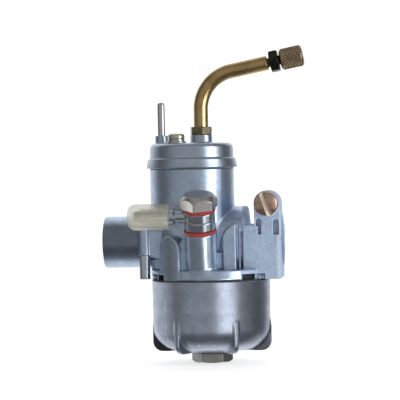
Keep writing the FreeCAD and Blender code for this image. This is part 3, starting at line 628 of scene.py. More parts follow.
def body_field(h):
    F = Field((-35.3, -29.0, -42.0), (36.1, 20.2, 29.0), h)
    add, cut = F.add, F.cut
    # flange, wall under the chamber, chamber, stub
    add(cylz(BOWL_X, 0, 23.5, -15.0, -11.0, 0.55))
    add(cylz(BOWL_X, 0, 15.5, -13.0, -4.0, 0.6), 0.9)
    add(cylz(0, 0, 16.75, -13.0, 28.9, 0.25), 0.9)
    add(cylx(0, 0, 10.3, -35.3, -8.0, 0.5), 0.9)
    # socket tube, and the collar ring beside the chamber
    add(cylx(0, 0, 12.0, 10.0, 36.0, 0.35), 0.5)
    add(both(cylx(0, 0, 13.7, 6.0, 22.3, 0.8), box(0, 30, -12.4, 12.4, -12, 20, 0.3), 0.2), 0.7)
    # clamp block
    add(
        prism(
            "z",
            [(21.0, -13), (34.7, -13), (36, -11.7), (36, 5.0), (33.5, 13), (21.0, 13)],
            -15.0,
            6.3,
            0.45,
        ),
        0.35,
    )
    # near lug, an upright tongue with a round top; far lug, smaller; bearing face
    tongue = [(25.5, 2.0), (36.0, 2.0), (36.0, CLAMP_Z)]
    tongue += [(30.75 + 5.25 * math.cos(t), CLAMP_Z + 5.25 * math.sin(t)) for t in np.linspace(0.2, math.pi - 0.2, 15)]
    tongue += [(25.5, CLAMP_Z)]
    add(prism("y", tongue, -13.0, -0.9, 0.35), 0.25)
    add(cyly(CLAMP_X, CLAMP_Z, 4.3, 0.9, 10.5, 0.35), 0.3)
    add(box(28.0, 33.2, 0.9, 10.5, 2.0, CLAMP_Z, 0.3), 0.5)
    add(cyly(CLAMP_X, CLAMP_Z, 5.1, -13.4, -12.0, 0.2), 0.15)
    # square base of the chamber on the engine side, its upper left corner arched
    plan = [(2, 3), (2, -13.5), (11.0, -12.6), (12.9, -14.2), (13.7, -16.6), (18.7, -16.6), (18.7, 3)]
    arch = [(2, -12), (11.6, -12), (11.9, -4), (12.9, 1.5), (14.6, 4.6), (17.2, 6.6), (18.7, 7.2), (18.7, -12)]
    base = both(prism("z", rounded(plan, [0, 0, 0, 2.0, 0.4, 0.5, 0]), -12.0, 8.0, 0.1), prism("y", arch, -20, 6, 0.1), 0.45)
    add(base, 0.55)
    plan_b = [(x, -y) for x, y in plan]
    add(both(prism("z", rounded(plan_b, [0, 0, 0, 2.0, 0.4, 0.5, 0]), -12.0, 8.0, 0.1), prism("y", arch, -6, 20, 0.1), 0.45), 0.55)
    add(box(19.45, 20.15, -12.9, 12.9, -12.0, 5.2, 0.25), 0.25)
    # fuel inlet boss and the towers on the flange's rim
    add(inlet_cyl(6.0, -2.2, 15.7, 0.3), 1.0)
    add(both(radial_box(-39.8, 10.9, 12.0, 25.0, -15.0, 2.6, "round"), cylz(BOWL_X, 0, 23.5, -15.0, 10.0, 0.2), 0.5), 0.35)
    add(radial_box(-22.3, 3.6, 12.0, 21.7, -12.0, 1.4, "round"), 0.3)
    # vent boss and its ramp
    add(cylz(VENT_X, VENT_Y, 2.5, -5.1, 5.5, 0.3), 0.5)
    add(prism("y", [(-18.1, -5.1), (-15.8, -5.1), (-10.5, -7.2), (-10.5, 5.0), (-18.1, 5.0)], -12.6, -3, 0.25), 0.4)
    # throttle stop screw boss on the back
    add(cyly(SLIDE_X, -3.0, 4.0, 8.0, 20.0, 0.35), 0.9)
    add(box(SLIDE_X - 4, SLIDE_X + 4, 8, 17, -12, -3.0, 0.3), 0.7)
    # inside the bowl
    add(cylz(BOWL_X, 0, 8.0, -42.0, -11.0, 0.3))
    add(inlet_cyl(3.9, -5.2, 1.0, 0.2))
    for x0 in (-0.9, 10.0):
        add(box(x0, x0 + 1.6, -19.4, -17.0, -21.0, -14.0, 0.1))
        add(cylx(-18.2, -21.0, 1.2, x0, x0 + 1.6, 0.1))
    # hollows
    pocket = both(
        prism("y", [(-20.5, -11.0), (-11.0, -11.0), (-11.0, -7.1), (-20.5, -4.9)], -20.0, -4.5, 0.1),
        box(-30, -11.0, -11.6, -4.5, -11.0, -4, 0.1),
    )
    cut(pocket, 0.3)
    cut(cylx(0, 0, 8.0, -36.3, 18.5, 0.05))
    cut(cylx(0, 0, 8.5, -36.3, -22.0, 0.05), 0.35)
    cut(cone((-22, 0, 0), (-16, 0, 0), 8.5, 8.0, 0.0))
    cut(cylx(0, 0, 10.0, 18.0, 38.0, 0.05), 0.35)
    cut(cylz(SLIDE_X, 0, 9.12, -8.15, 31.0, 0.05))
    cut(box(-9.85, -7.75, -8.75, 8.75, -4.25, 31, 0.05))
    cut(box(-9.8, -3.0, -3.05, 3.05, 9.0, 31, 0.05))
    cut(box(-13.95, -9.65, -3.15, 3.15, 14.25, 31, 0.05))
    cut(cylz(CHOKE_X, 0, 2.2, 10.6, 31, 0.05))
    cut(box(22.3, 25.5, -20, 20, 6.3, 30, 0.1), 0.35)
    for x0, x1, z0, z1 in ((26.3, 28.3, 6.0, 8.9), (27.1, 28.3, 2.8, 7.0), (33.1, 35.3, 2.5, 8.4)):
        w = (x1 - x0) / 2
        pts = [(x0, z0), (x1, z0)] + [((x0 + x1) / 2 + w * math.cos(t), z1 - w + w * math.sin(t)) for t in np.linspace(0, math.pi, 11)]
        cut(prism("y", pts, -14.5, -10.6, 0.3), 0.3)
    mouth = less(cylx(0, 0, 14.0, 34.5, 38.0, 0.0), cone((34.5, 0, 0), (37.5, 0, 0), 12.0, 9.0, 0.0))
    cut(both(mouth, box(30, 40, 0.5, 15, 6.4, 20, 0.0)), 0.2)
    cut(box(24.0, 38.0, -1.0, 1.0, 4.0, 30, 0.1), 0.25)
    cut(cyly(CLAMP_X, CLAMP_Z, 3.1, -20, 20, 0.05))
    cut(inlet_cyl(3.95, 5.5, 17.5, 0.05))
    cut(inlet_cyl(1.4, 0.9, 6.0, 0.05))
    cut(inlet_cyl(2.6, -7.0, 1.0, 0.05))
    cut(cylz(BOWL_X, 0, 6.05, -43.0, -27.0, 0.05))
    cut(cylz(SLIDE_X, 0, 2.9, -28.0, -9.0, 0.05))
    cut(cylz(SLIDE_X, 0, 1.6, -10.0, -6.0, 0.05))
    cut(cylz(10.6, 0, 1.9, -28.0, -18.9, 0.05))
    cut(cylz(10.6, 0, 0.6, -20.0, -12.0, 0.0))
    cut(cylx(0, -12.0, 0.6, 10.6, 14.8, 0.0))
    cut(cylz(14.8, 0, 0.6, -12.0, -6.0, 0.0))
    cut(cylx(0, -39.0, 1.5, -2.0, 7.0, 0.0))
    cut(cyly(SLIDE_X, -3.0, 2.1, 5.0, 21.0, 0.05))
    for a0, a1 in ((37.5, 55.0), (-60.0, -46.5)):
        cut(wedge(a0, a1, 21.4, 26.0, -17.0, -12.7), 0.2)
    cut(both(wedge(55.0, 78.0, 22.6, 26.0, -17.0, -12.7), box(-20, 30.0, -40, 40, -20, 0, 0.0)), 0.15)
    cut(wedge(-86.0, -60.0, 22.6, 26.0, -17.0, -12.7), 0.15)
    cut(cylz(15.3, -18.6, 1.65, -14.0, -10.0, 0.05), 0.25)
    ring = less(cylz(BOWL_X, 0, 20.4, -17.0, -13.2, 0.1), cylz(BOWL_X, 0, 8.5, -20, -10, 0.1))
    ring = less(ring, inlet_cyl(6.0, -8, 3))
    ring = less(ring, box(-2.2, 12.9, -20.8, -15.8, -20, -10))
    cut(ring)
    for x, y in (NEAR, FAR):
        cut(cylz(x, y, 2.0, 17.0, 31, 0.05))
    cut(cylz(VENT_X, VENT_Y, 1.66, -6.0, 1.0, 0.05))
    cut(cylz(VENT_X, VENT_Y, 2.45, -6.7, -5.1, 0.05))
    cut(cylz(VENT_X, VENT_Y, 1.0, 0.9, 3.0, 0.0))
    cut(cylx(-18.2, -21.0, 0.82, -2.0, 13.0, 0.0))
    # tabs under the flange's rim
    for deg in (65.5, -72.5):
        a = math.radians(deg)
        dx, dy = math.sin(a), -math.cos(a)
        for k in (-1.15, 1.15):
            p = (BOWL_X + dx * 20.5 - dy * k, dy * 20.5 + dx * k, -13.86)
            add(cone(p, (p[0] + dx * 3.1, p[1] + dy * 3.1, p[2]), 1.08, 1.08, 0.25), 0.15)
    return F


def bowl_field(h):
    F = Field((-17.0, -24.0, -44.8), (31.0, 24.0, -15.3), h)
    corner, cx, cz = 9.0, 14.3, -33.98
    sl = math.radians(12.5)

    def arc(r):
        return [
            (cx + r * math.cos(t), cz + r * math.sin(t))
            for t in np.linspace(math.radians(-90 + 12.5), 0, 14)
        ]

    outer = [(0, -44.6), (8.0, -44.6)] + arc(corner) + [(23.6, -15.4), (0, -15.4)]
    inner = [(0, -42.0), (9.0, -42.0)] + arc(corner - 2.4) + [(21.2, -15.3), (21.2, -12), (0, -12)]
    F.add(lathe_f(outer, BOWL_X, 0))
    for deg in (30, 90, 150, -30, -90, -150):
        pts = [(9.0, -43.6), (17.0, -44.0), (19.9, -44.0)]
        for i in range(1, 7):
            t = math.radians(-90 + 15 * i)
            pts.append((19.9 + 3.9 * math.cos(t), -40.1 + 3.9 * math.sin(t)))
        pts += [(23.8, -34.5), (23.3, -31.4), (18.0, -31.4), (9.0, -40.0)]
        rib = prism("x", pts, BOWL_X - 1.0, BOWL_X + 1.0, 0.45)
        F.add(turned(rib, 180 + deg, BOWL_X, 0), 0.9)
    F.cut(lathe_f(inner, BOWL_X, 0))
    F.cut(cylz(BOWL_X, 0, 6.15, -50, -30, 0.05))
    F.cut(cylz(BOWL_X, 0, 7.6, -46, -43.5, 0.05), 0.2)
    return F


def cap_field(h):
    F = Field((-18.3, -18.3, 29.2), (18.3, 18.3, 42.4), h)
    prof = [(0, 29.2), (18.0, 29.2), (18.2, 29.45), (17.6, 32.6)]
    prof += [(17.45, 32.9), (17.15, 33.0), (16.86, 33.1), (16.75, 33.4), (16.6, 37.0)]
    prof += [(14.5 + 2.1 * math.cos(t), 37.0 + 2.1 * math.sin(t)) for t in np.linspace(0.15, math.pi / 2, 9)]
    prof += [(0, 39.1)]
    F.add(lathe_f(prof))
    F.add(cylz(CHOKE_X, 0, 2.55, 38.0, 42.3, 0.3), 0.5)
    F.add(cylz(SLIDE_X, 0, 4.4, 38.0, 42.4, 0.35), 0.6)
    F.cut(cylz(SLIDE_X, 0, 9.5, 28.0, 36.0, 0.05))
    F.cut(box(-14.25, -4.0, -3.45, 3.45, 28.0, 31.2, 0.05))
    F.cut(box(-10.25, -7.35, -9.05, 9.05, 28.0, 31.2, 0.05))
    for x, y in (NEAR, FAR):
        F.cut(cylz(x, y, 2.15, 27, 42, 0.05), 0.15)
    F.cut(cylz(CHOKE_X, 0, 1.6, 30, 45, 0.05), 0.2)
    F.cut(cylz(SLIDE_X, 0, 2.93, 36.8, 45, 0.02))
    F.cut(cylz(SLIDE_X, 0, 1.9, 35, 40, 0.05))
    return F


def banjo_bolt_field(h):
    b0 = S0 + 10.0
    F = Field((-7.6, -7.6, 6.4), (7.6, 7.6, b0 + 5.6), h)
    head = both(
        hexagon(13.0, b0, b0 + 5.5, 18.7, rd=0.12),
        lathe_f([(0, b0), (7.6, b0), (7.6, b0 + 3.2), (5.6, b0 + 5.5), (0, b0 + 5.5)]),
        0.15,
    )
    F.add(head)
    F.cut(lathe_f([(0, b0 + 5.45), (3.6, b0 + 5.45), (3.9, b0 + 5.6), (0, b0 + 5.6)]), 0.1)
    F.add(cylz(0, 0, 3.9, 6.5, b0 + 0.5, 0.2))
    F.cut(cylz(0, 0, 1.5, 6.0, S0 + 6.2, 0.05))
    F.cut(cylx(0, S0 + 5.0, 1.2, -5, 5, 0.05))
    F.cut(cyly(0, S0 + 5.0, 1.2, -5, 5, 0.05))
    return F


def lathe_along_x(pts, y0, z0, rd=0.0):
    xs, rs = [p[0] for p in pts], [p[1] for p in pts]
    m = max(rs) + rd

    def fn(x, y, z):
        return poly2(x, np.sqrt((y - y0) ** 2 + (z - z0) ** 2), pts) - rd

    return fn, (min(xs) - rd, y0 - m, z0 - m), (max(xs) + rd, y0 + m, z0 + m)


def banjo_fitting_field(h):
    ring = rounded(
        [
            (3.9, S0 + 1.5),
            (6.05, S0 + 1.5),
            (6.05, S0 + 4.75),
            (5.8, S0 + 5.0),
            (6.05, S0 + 5.25),
            (6.05, S0 + 8.5),
            (3.9, S0 + 8.5),
        ],
        [0, 0.35, 0.1, 0.1, 0.1, 0.35, 0],
        4,
    )
    zc = S0 + 6.5
    # positions along the nipple are measured from the chamber's axis, so shift by the inlet's X
    def X(v):
        return v - INLET_P[0]

    nip = [
        (X(4.4), -1.0), (X(4.4), 2.35), (X(-4.1), 2.35), (X(-4.6), 3.0),
        (X(-9.6), 3.0), (X(-9.6), 2.4), (X(-10.9), 3.0), (X(-12.6), 3.0), (X(-12.6), 2.4), (X(-13.9), 3.0),
        (X(-15.6), 3.0), (X(-15.6), 2.4), (X(-16.9), 3.0), (X(-17.4), 3.0), (X(-17.9), 2.5), (X(-19.8), 2.5), (X(-20.2), 2.1), (X(-20.2), -1.0),
    ]
    F2 = Field((X(-20.4), -6.2, S0 + 1.4), (6.2, 6.2, S0 + 9.6), h)
    F2.add(lathe_f(ring))
    F2.add(less(less(lathe_along_x(nip, 0, zc), cylz(0, 0, 4.5, S0, S0 + 10, 0.0)), cylz(0, 0, 6.5, S0 + 8.45, S0 + 12, 0.0)), 0.3)
    F2.cut(cylz(0, 0, 4.0, S0, S0 + 10, 0.05))
    F2.cut(cylx(0, zc, 1.5, X(-21.0), 0.0, 0.05), 0.15)
    return F2


def hex_nut_field(af, z0, z1, turn, bore, h, both_ends=False, x0=0.0, crown=0.42):
    F = Field((x0 - af * 0.62, -af * 0.62, z0), (x0 + af * 0.62, af * 0.62, z1), h)
    rc = af / math.sqrt(3)
    low = [(0, z0), (rc - crown * 1.5, z0), (rc, z0 + crown)] if both_ends else [(0, z0), (rc, z0)]
    prof = low + [(rc, z1 - crown), (rc - crown * 1.5, z1), (0, z1)]
    F.add(both(hexagon(af, z0, z1, turn, x0, rd=0.1), lathe_f(prof, x0, 0), 0.12))
    F.cut(cylz(x0, 0, bore, z0 - 2, z1 + 2, 0.02), 0.12)
    return F


def bowl_bolt_field(h):
    F = Field((BOWL_X - 8.4, -8.4, -48.4), (BOWL_X + 8.4, 8.4, -36.9), h)
    head = both(
        hexagon(14.2, -48.4, -44.6, 6.5, BOWL_X, rd=0.12),
        lathe_f([(0, -48.4), (6.9, -48.4), (8.3, -47.5), (8.3, -44.6), (0, -44.6)], BOWL_X),
        0.15,
    )
    F.add(head)
    F.add(cylz(BOWL_X, 0, 5.98, -45.0, -37.0, 0.3))
    F.cut(cylz(BOWL_X, 0, 4.6, -41.5, -36, 0.1))
    return F


def clamp_screw_field(h):
    F = Field((-4.9, -4.9, -25.4), (4.9, 4.9, 3.7), h)
    dome_r = 9.6

    def dome(x, y, z):
        return np.sqrt(x * x + y * y + (z - (3.65 - dome_r)) ** 2) - dome_r

    head = both(cylz(0, 0, 4.75, 0.0, 3.9, 0.25), (dome, (-5, -5, 0), (5, 5, 3.7)), 0.45)
    F.add(head)
    F.cut(prism("x", [(-0.95, 1.6), (0.05, 1.6), (0.95, 2.75), (0.95, 6), (-0.95, 6)], -8, 8, 0.05), 0.1)
    F.add(cylz(0, 0, 3.0, -25.4, 0.5, 0.4))
    return F


def cap_screws_field(h):
    F = Field((-8.4, -13.2, 17.8), (5.8, 15.1, 43.3), h)
    z0 = 40.7
    for (x, y), turn in ((NEAR, 24.0), (FAR, -35.0)):
        prof = [(0, z0), (3.1, z0), (3.3, z0 + 0.25), (3.3, z0 + 1.15)]
        prof += [(3.17, z0 + 1.6), (2.85, z0 + 1.95), (2.4, z0 + 2.14), (1.9, z0 + 2.25), (0, z0 + 2.35)]
        F.add(lathe_f(prof, x, y))
        slot = turned(box(x - 5, x + 5, y - 0.42, y + 0.42, z0 + 1.1, z0 + 4, 0.05), turn, x, y)
        F.cut(slot, 0.08, pad=0.4)
        F.add(cylz(x, y, 1.96, 18.0, z0 + 0.5, 0.2))
    return F


# ---------------------------------------------------------------------------
# Materials
# ---------------------------------------------------------------------------
class Nodes:
    """Short hand for building a node tree."""

    def __init__(self, name, world=False):
        self.m = bpy.data.worlds.new(name) if world else bpy.data.materials.new(name)
        self.m.use_nodes = True
        self.nt = self.m.node_tree
        self.nt.nodes.clear()

    def put(self, socket, value):
        if value is None:
            return
        if isinstance(value, bpy.types.NodeSocket):
            self.nt.links.new(value, socket)
        elif socket.type == "RGBA" and not isinstance(value, (int, float)) and len(value) == 3:
            socket.default_value = (*value, 1.0)
        else:
            socket.default_value = value

    def n(self, kind, out=0, props=None, **inputs):
        node = self.nt.nodes.new("ShaderNode" + kind)
        for k, v in (props or {}).items():
            setattr(node, k, v)
        for k, v in inputs.items():
            key = k.replace("_", " ")
            if k[0] == "i" and k[1:].isdigit():
                self.put(node.inputs[int(k[1:])], v)
            else:
                self.put(node.inputs[key], v)
        return node.outputs[out]

    def math(self, op, a, b=None, c=None, clamp=False):
        node = self.nt.nodes.new("ShaderNodeMath")
        node.operation = op
        node.use_clamp = clamp
        self.put(node.inputs[0], a)
        self.put(node.inputs[1], b)
        self.put(node.inputs[2], c)
        return node.outputs[0]

    def vmath(self, op, a, b=None, out=0):
        node = self.nt.nodes.new("ShaderNodeVectorMath")
        node.operation = op
        self.put(node.inputs[0], a)
        self.put(node.inputs[1], b)
        return node.outputs[out]

    def ramp(self, fac, stops, interp="LINEAR"):
        node = self.nt.nodes.new("ShaderNodeValToRGB")
        node.color_ramp.interpolation = interp
        el = node.color_ramp.elements
        while len(el) > 1:
            el.remove(el[-1])
        for i, (p, c) in enumerate(stops):
            e = el[0] if i == 0 else el.new(p)
            e.position = p
            e.color = (c, c, c, 1) if isinstance(c, (int, float)) else (*c, 1)
        self.put(node.inputs[0], fac)
        return node.outputs[0]

    def mix(self, fac, a, b, blend="MIX"):
        node = self.nt.nodes.new("ShaderNodeMix")
        node.data_type = "RGBA"
        node.blend_type = blend
        node.clamp_factor = True
        self.put(node.inputs["Factor"], fac)
        self.put(node.inputs[6], a)
        self.put(node.inputs[7], b)
        return node.outputs[2]

    def mixf(self, fac, a, b):
        node = self.nt.nodes.new("ShaderNodeMix")
        node.data_type = "FLOAT"
        self.put(node.inputs["Factor"], fac)
        self.put(node.inputs[2], a)
        self.put(node.inputs[3], b)
        return node.outputs[0]

    def noise(self, vec, scale, detail=2.0, rough=0.5, out=0):
        return self.n("TexNoise", out=out, Vector=vec, Scale=scale, Detail=detail, Roughness=rough)

    def bump(self, height, distance, normal=None, strength=1.0):
        return self.n("Bump", Height=height, Distance=distance, Strength=strength, Normal=normal)


def coords(N):
    tc = N.n("TexCoord", out="Object")
    node = N.nt.nodes.new("ShaderNodeVectorMath")
    node.operation = "MULTIPLY_ADD"
    N.put(node.inputs[0], tc)
    node.inputs[1].default_value = (1000, 1000, 1000)
    node.inputs[2].default_value = (OX, 0, 0)
    return node.outputs[0]


def local_coords(N, origin, direction):
    """(distance from a line, distance along it) in mm, for turning marks."""
    v = coords(N)
    rel = N.vmath("SUBTRACT", v, tuple(origin))
    d = tuple(np.array(direction, float) / np.linalg.norm(direction))
    along = N.vmath("DOT_PRODUCT", rel, d, out="Value")
    scaled = N.nt.nodes.new("ShaderNodeVectorMath")
    scaled.operation = "SCALE"
    scaled.inputs[0].default_value = d
    N.put(scaled.inputs["Scale"], along)
    radial = N.vmath("LENGTH", N.vmath("SUBTRACT", rel, scaled.outputs[0]), out="Value")
    return radial, along


def metal(
    name,
    col,
    col2=None,
    rough=0.3,
    rough2=0.42,
    tone_mm=5.0,
    grain_mm=0.5,
    grain_um=4.0,
    wave_mm=3.0,
    wave_um=12.0,
    turned=None,
    turned_um=2.5,
    turned_mm=0.25,
    turned_mix=0.6,
    edge=0.0,
    edge_sheen_col=(0.85, 0.88, 0.92),
    painted_crevice_shade=0.0,
    metallic=1.0,
    speck=0.0,
    speck_col=(0.15, 0.15, 0.16),
    aniso=None,
    attr=None,
    painted_shade_attr=None,
    painted_highlight_attr=None,
    mottle=0.0,
    spec=0.5,
):
    """Metal with tone and roughness that wander, fine grain and soft waves in its surface, and where asked turning
    marks, edges lightened as part wear and part painted highlight, and corners darkened as painted shade.
    """
    N = Nodes(name)
    v = coords(N)
    col2 = col2 or tuple(c * 0.8 for c in col)
    big = N.noise(v, 1.0 / tone_mm, 3.0, 0.6)
    fine = N.noise(v, 1.0 / grain_mm, 2.0, 0.6)
    tone = N.ramp(big, [(0.32, 0.0), (0.68, 1.0)])
    color = N.mix(tone, col, col2)
    r = N.mixf(N.math("MULTIPLY_ADD", fine, 0.5, N.math("MULTIPLY", big, 0.5)), rough, rough2)
    nrm = None
    if wave_um:
        nrm = N.bump(N.noise(v, 1.0 / wave_mm, 1.5, 0.4), wave_um * 1e-6 * 4, nrm)
    if grain_um:
        nrm = N.bump(fine, grain_um * 1e-6 * 4, nrm)
    if mottle:
        blotch = N.ramp(N.noise(v, 1.0 / 0.85, 2.0, 0.55), [(0.36, 0.0), (0.64, 1.0)])
        color = N.mix(N.math("MULTIPLY", blotch, mottle), color, tuple(c * 0.45 for c in col))
        r = N.math("ADD", r, N.math("MULTIPLY", blotch, 0.05))
    if turned is not None:
        radial, along = local_coords(N, *turned)
        tv = N.n("CombineXYZ", X=N.math("MULTIPLY", radial, 1.0 / turned_mm), Y=N.math("MULTIPLY", along, 1.0 / turned_mm), Z=N.math("MULTIPLY", big, 0.6))
        marks = N.noise(tv, 1.0, 2.5, 0.65)
        nrm = N.bump(marks, turned_um * 1e-6 * 4, nrm)
        color = N.mix(N.math("MULTIPLY", turned_mix, N.ramp(marks, [(0.35, 0.0), (0.7, 1.0)])), color, tuple(c * 0.86 for c in col2))
        r = N.math("ADD", r, N.math("MULTIPLY_ADD", marks, 0.14, -0.07))
    if speck:
        sp = N.ramp(N.noise(v, 1.0 / 0.28, 1.0, 0.5), [(0.66, 0.0), (0.74, 1.0)])
        color = N.mix(N.math("MULTIPLY", sp, speck), color, speck_col)
    if edge or painted_crevice_shade:
        pt = N.n("NewGeometry", out="Pointiness")
        if edge:
            # pale colour on convex edges (high pointiness): part wear, part painted highlight
            worn_edge_sheen = N.math("MULTIPLY", N.ramp(pt, [(0.53, 0.0), (0.575, 1.0)]), N.math("MULTIPLY_ADD", fine, 0.6, 0.6), clamp=True)
            color = N.mix(N.math("MULTIPLY", worn_edge_sheen, edge), color, edge_sheen_col)
            r = N.math("SUBTRACT", r, N.math("MULTIPLY", worn_edge_sheen, 0.12 * edge))
        if painted_crevice_shade:
            # painted shade: colour darkened where the surface is concave (low pointiness), in corners, grooves and
            # between parts
            deep = N.ramp(pt, [(0.42, 1.0), (0.49, 0.0)])
            color = N.mix(N.math("MULTIPLY", deep, painted_crevice_shade), color, tuple(c * 0.25 for c in col))
    if attr:
        a = N.n("Attribute", out="Fac", props={"attribute_name": attr})
        r = N.math("ADD", r, N.math("MULTIPLY", a, 0.26))
        metallic = N.math("MULTIPLY_ADD", a, -0.72, 1.0, clamp=True)
        chalk = N.mix(N.ramp(fine, [(0.3, 0.0), (0.7, 1.0)]), (0.50, 0.62, 0.80), (0.38, 0.48, 0.63))
        chalk = N.mix(N.math("MULTIPLY", N.math("MULTIPLY", blotch, tone), 0.75), chalk, (0.24, 0.31, 0.42))
        # painted highlight: edges of the rough parts lightened towards near-white
        lit = N.math("MULTIPLY", worn_edge_sheen, 0.8)
        chalk = N.mix(lit, chalk, (0.88, 0.93, 1.0))
        color = N.mix(N.math("MULTIPLY", a, 0.85), color, chalk)
        # painted shade: ambient occlusion darkens the colour in hollows and between parts
        ao = N.n("AmbientOcclusion", out="AO", props={"samples": 6}, Distance=0.0035)
        ao_painted_shade = N.ramp(ao, [(0.25, 0.0), (0.85, 1.0)])
        color = N.mix(ao_painted_shade, N.mix(1.0, color, (0.62, 0.65, 0.70), "MULTIPLY"), color)
    if painted_shade_attr:
        # painted shade: a per-vertex attribute takes the colour towards near-black
        shade = N.n("Attribute", out="Fac", props={"attribute_name": painted_shade_attr})
        color = N.mix(shade, (0.012, 0.013, 0.016), color)
    if painted_highlight_attr:
        # painted highlight: a per-vertex attribute turns the colour pale cream and less metallic, standing in for a
        # lamp's reflection
        pale = N.n("Attribute", out="Fac", props={"attribute_name": painted_highlight_attr})
        color = N.mix(pale, color, (0.98, 0.88, 0.70))
        metallic = N.math("MULTIPLY_ADD", pale, -0.95, 1.0, clamp=True)
        r = N.math("MULTIPLY_ADD", pale, 0.2, r)
    r = N.math("MAXIMUM", r, 0.05)
    p = N.nt.nodes.new("ShaderNodeBsdfPrincipled")
    N.put(p.inputs["Base Color"], color)
    N.put(p.inputs["Metallic"], metallic)
    N.put(p.inputs["Roughness"], r)
    N.put(p.inputs["Specular IOR Level"], spec)
    if nrm is not None:
        N.put(p.inputs["Normal"], nrm)
    if aniso:
        N.put(p.inputs["Anisotropic"], aniso)
    out = N.nt.nodes.new("ShaderNodeOutputMaterial")
    N.nt.links.new(p.outputs[0], out.inputs[0])
    return N.m


def plastic(name, col, col2, rough=0.45, sub=0.0, transmission=0.0, grain_mm=0.6, grain_um=4.0, tone_mm=4.0, ior=1.46, streak=0.0):
    N = Nodes(name)
    v = coords(N)
    big = N.noise(v, 1.0 / tone_mm, 3.0, 0.6)
    fine = N.noise(v, 1.0 / grain_mm, 2.0, 0.6)
    color = N.mix(N.ramp(big, [(0.3, 0.0), (0.7, 1.0)]), col, col2)
    color = N.mix(N.math("MULTIPLY", N.ramp(fine, [(0.45, 0.0), (0.8, 1.0)]), 0.25), color, tuple(c * 0.8 for c in col2))
    p = N.nt.nodes.new("ShaderNodeBsdfPrincipled")
    N.put(p.inputs["Base Color"], color)
    N.put(p.inputs["Roughness"], N.math("MULTIPLY_ADD", fine, 0.16, rough - 0.08))
    N.put(p.inputs["IOR"], ior)
    if sub:
        N.put(p.inputs["Subsurface Weight"], sub)
        p.inputs["Subsurface Radius"].default_value = (0.002, 0.0018, 0.0012)
        p.inputs["Subsurface Scale"].default_value = 1.0
    if transmission:
        N.put(p.inputs["Transmission Weight"], transmission)
        N.put(p.inputs["Alpha"], 0.4)
    nrm = N.bump(fine, grain_um * 1e-6 * 4)
    N.put(p.inputs["Normal"], nrm)
    out = N.nt.nodes.new("ShaderNodeOutputMaterial")
    N.nt.links.new(p.outputs[0], out.inputs[0])
    return N.m


ZINC = (0.565, 0.68, 0.85)
UP = (0, 0, 1)
M = {}
M["zinc"] = metal("zinc_casting", ZINC, (0.45, 0.545, 0.69), 0.21, 0.33, 4.5, 0.5, 0.8, 3.0, 18.0, edge=0.6, edge_sheen_col=(0.86, 0.92, 0.98), painted_crevice_shade=0.6, attr="finish", painted_shade_attr="tone", mottle=0.17)
M["bowl"] = metal("bowl_zinc", (0.57, 0.635, 0.765), (0.44, 0.49, 0.60), 0.26, 0.36, 5.0, 0.5, 2.5, 4.0, 16.0, turned=((BOWL_X, 0, 0), UP), turned_um=2.0, turned_mm=0.4, turned_mix=0.3, edge=0.5, painted_crevice_shade=0.5, painted_shade_attr="tone", mottle=0.1)
M["cap"] = metal("cap_turned_zinc", (0.585, 0.675, 0.80), (0.46, 0.54, 0.65), 0.24, 0.34, 6.0, 0.5, 1.5, 4.0, 4.0, turned=((0, 0, 0), UP), turned_um=3.0, turned_mm=0.45, edge=0.5, painted_crevice_shade=0.4, mottle=0.12)
M["steel"] = metal("steel_plated", (0.60, 0.64, 0.69), (0.48, 0.52, 0.57), 0.18, 0.3, 3.0, 0.3, 2.0, 2.0, 4.0)
M["pin"] = metal("steel_pin", (0.68, 0.70, 0.74), (0.6, 0.62, 0.66), 0.12, 0.2, 3.0, 0.3, 1.5, 2.0, 2.0, turned=((CHOKE_X, 0, 0), UP), turned_um=1.0, turned_mm=0.2)
M["hexsteel"] = metal("hex_steel", (0.60, 0.585, 0.57), (0.47, 0.46, 0.46), 0.22, 0.36, 2.5, 0.35, 3.0, 2.0, 6.0, edge=0.6, edge_sheen_col=(0.85, 0.84, 0.82), speck=0.25)
M["ring"] = metal("banjo_steel", (0.62, 0.67, 0.74), (0.48, 0.53, 0.6), 0.2, 0.3, 2.5, 0.35, 0.8, 2.0, 4.0, turned=(tuple(INLET_P), (0, -math.sin(math.radians(16)), math.cos(math.radians(16)))), turned_um=0.8, turned_mm=0.3, edge=0.4, painted_crevice_shade=0.4)
M["yellow"] = metal("yellow_zinc", (0.72, 0.70, 0.50), (0.60, 0.60, 0.47), 0.2, 0.32, 2.0, 0.3, 2.0, 2.0, 4.0, edge=0.4, edge_sheen_col=(0.9, 0.9, 0.75), painted_crevice_shade=0.4)
M["washer"] = metal("washer_zinc", (0.66, 0.67, 0.62), (0.55, 0.57, 0.54), 0.2, 0.3, 2.0, 0.3, 2.0)
M["copper"] = metal("copper_zinc", (0.84, 0.56, 0.46), (0.50, 0.34, 0.26), 0.22, 0.36, 2.2, 0.3, 3.0, 1.6, 9.0, turned=((CLAMP_X, 0, CLAMP_Z), (0, 1, 0)), turned_um=5.0, turned_mm=0.5, edge=0.5, edge_sheen_col=(0.95, 0.8, 0.66), painted_crevice_shade=0.6, painted_highlight_attr="pale")
M["brass"] = metal("brass_tube", (0.60, 0.44, 0.21), (0.44, 0.30, 0.13), 0.22, 0.32, 3.5, 0.35, 2.5, 3.0, 9.0, speck=0.2, speck_col=(0.25, 0.15, 0.06))
M["knob"] = metal("knurled_brass", (0.40, 0.30, 0.19), (0.27, 0.20, 0.13), 0.26, 0.4, 1.6, 0.25, 3.0, 1.2, 6.0, edge=0.5, edge_sheen_col=(0.85, 0.68, 0.42), painted_crevice_shade=0.9)
M["blacknut"] = metal("black_nut", (0.06, 0.065, 0.05), (0.035, 0.035, 0.03), 0.25, 0.4, 2.0, 0.3, 3.0, edge=0.3, edge_sheen_col=(0.35, 0.33, 0.25))
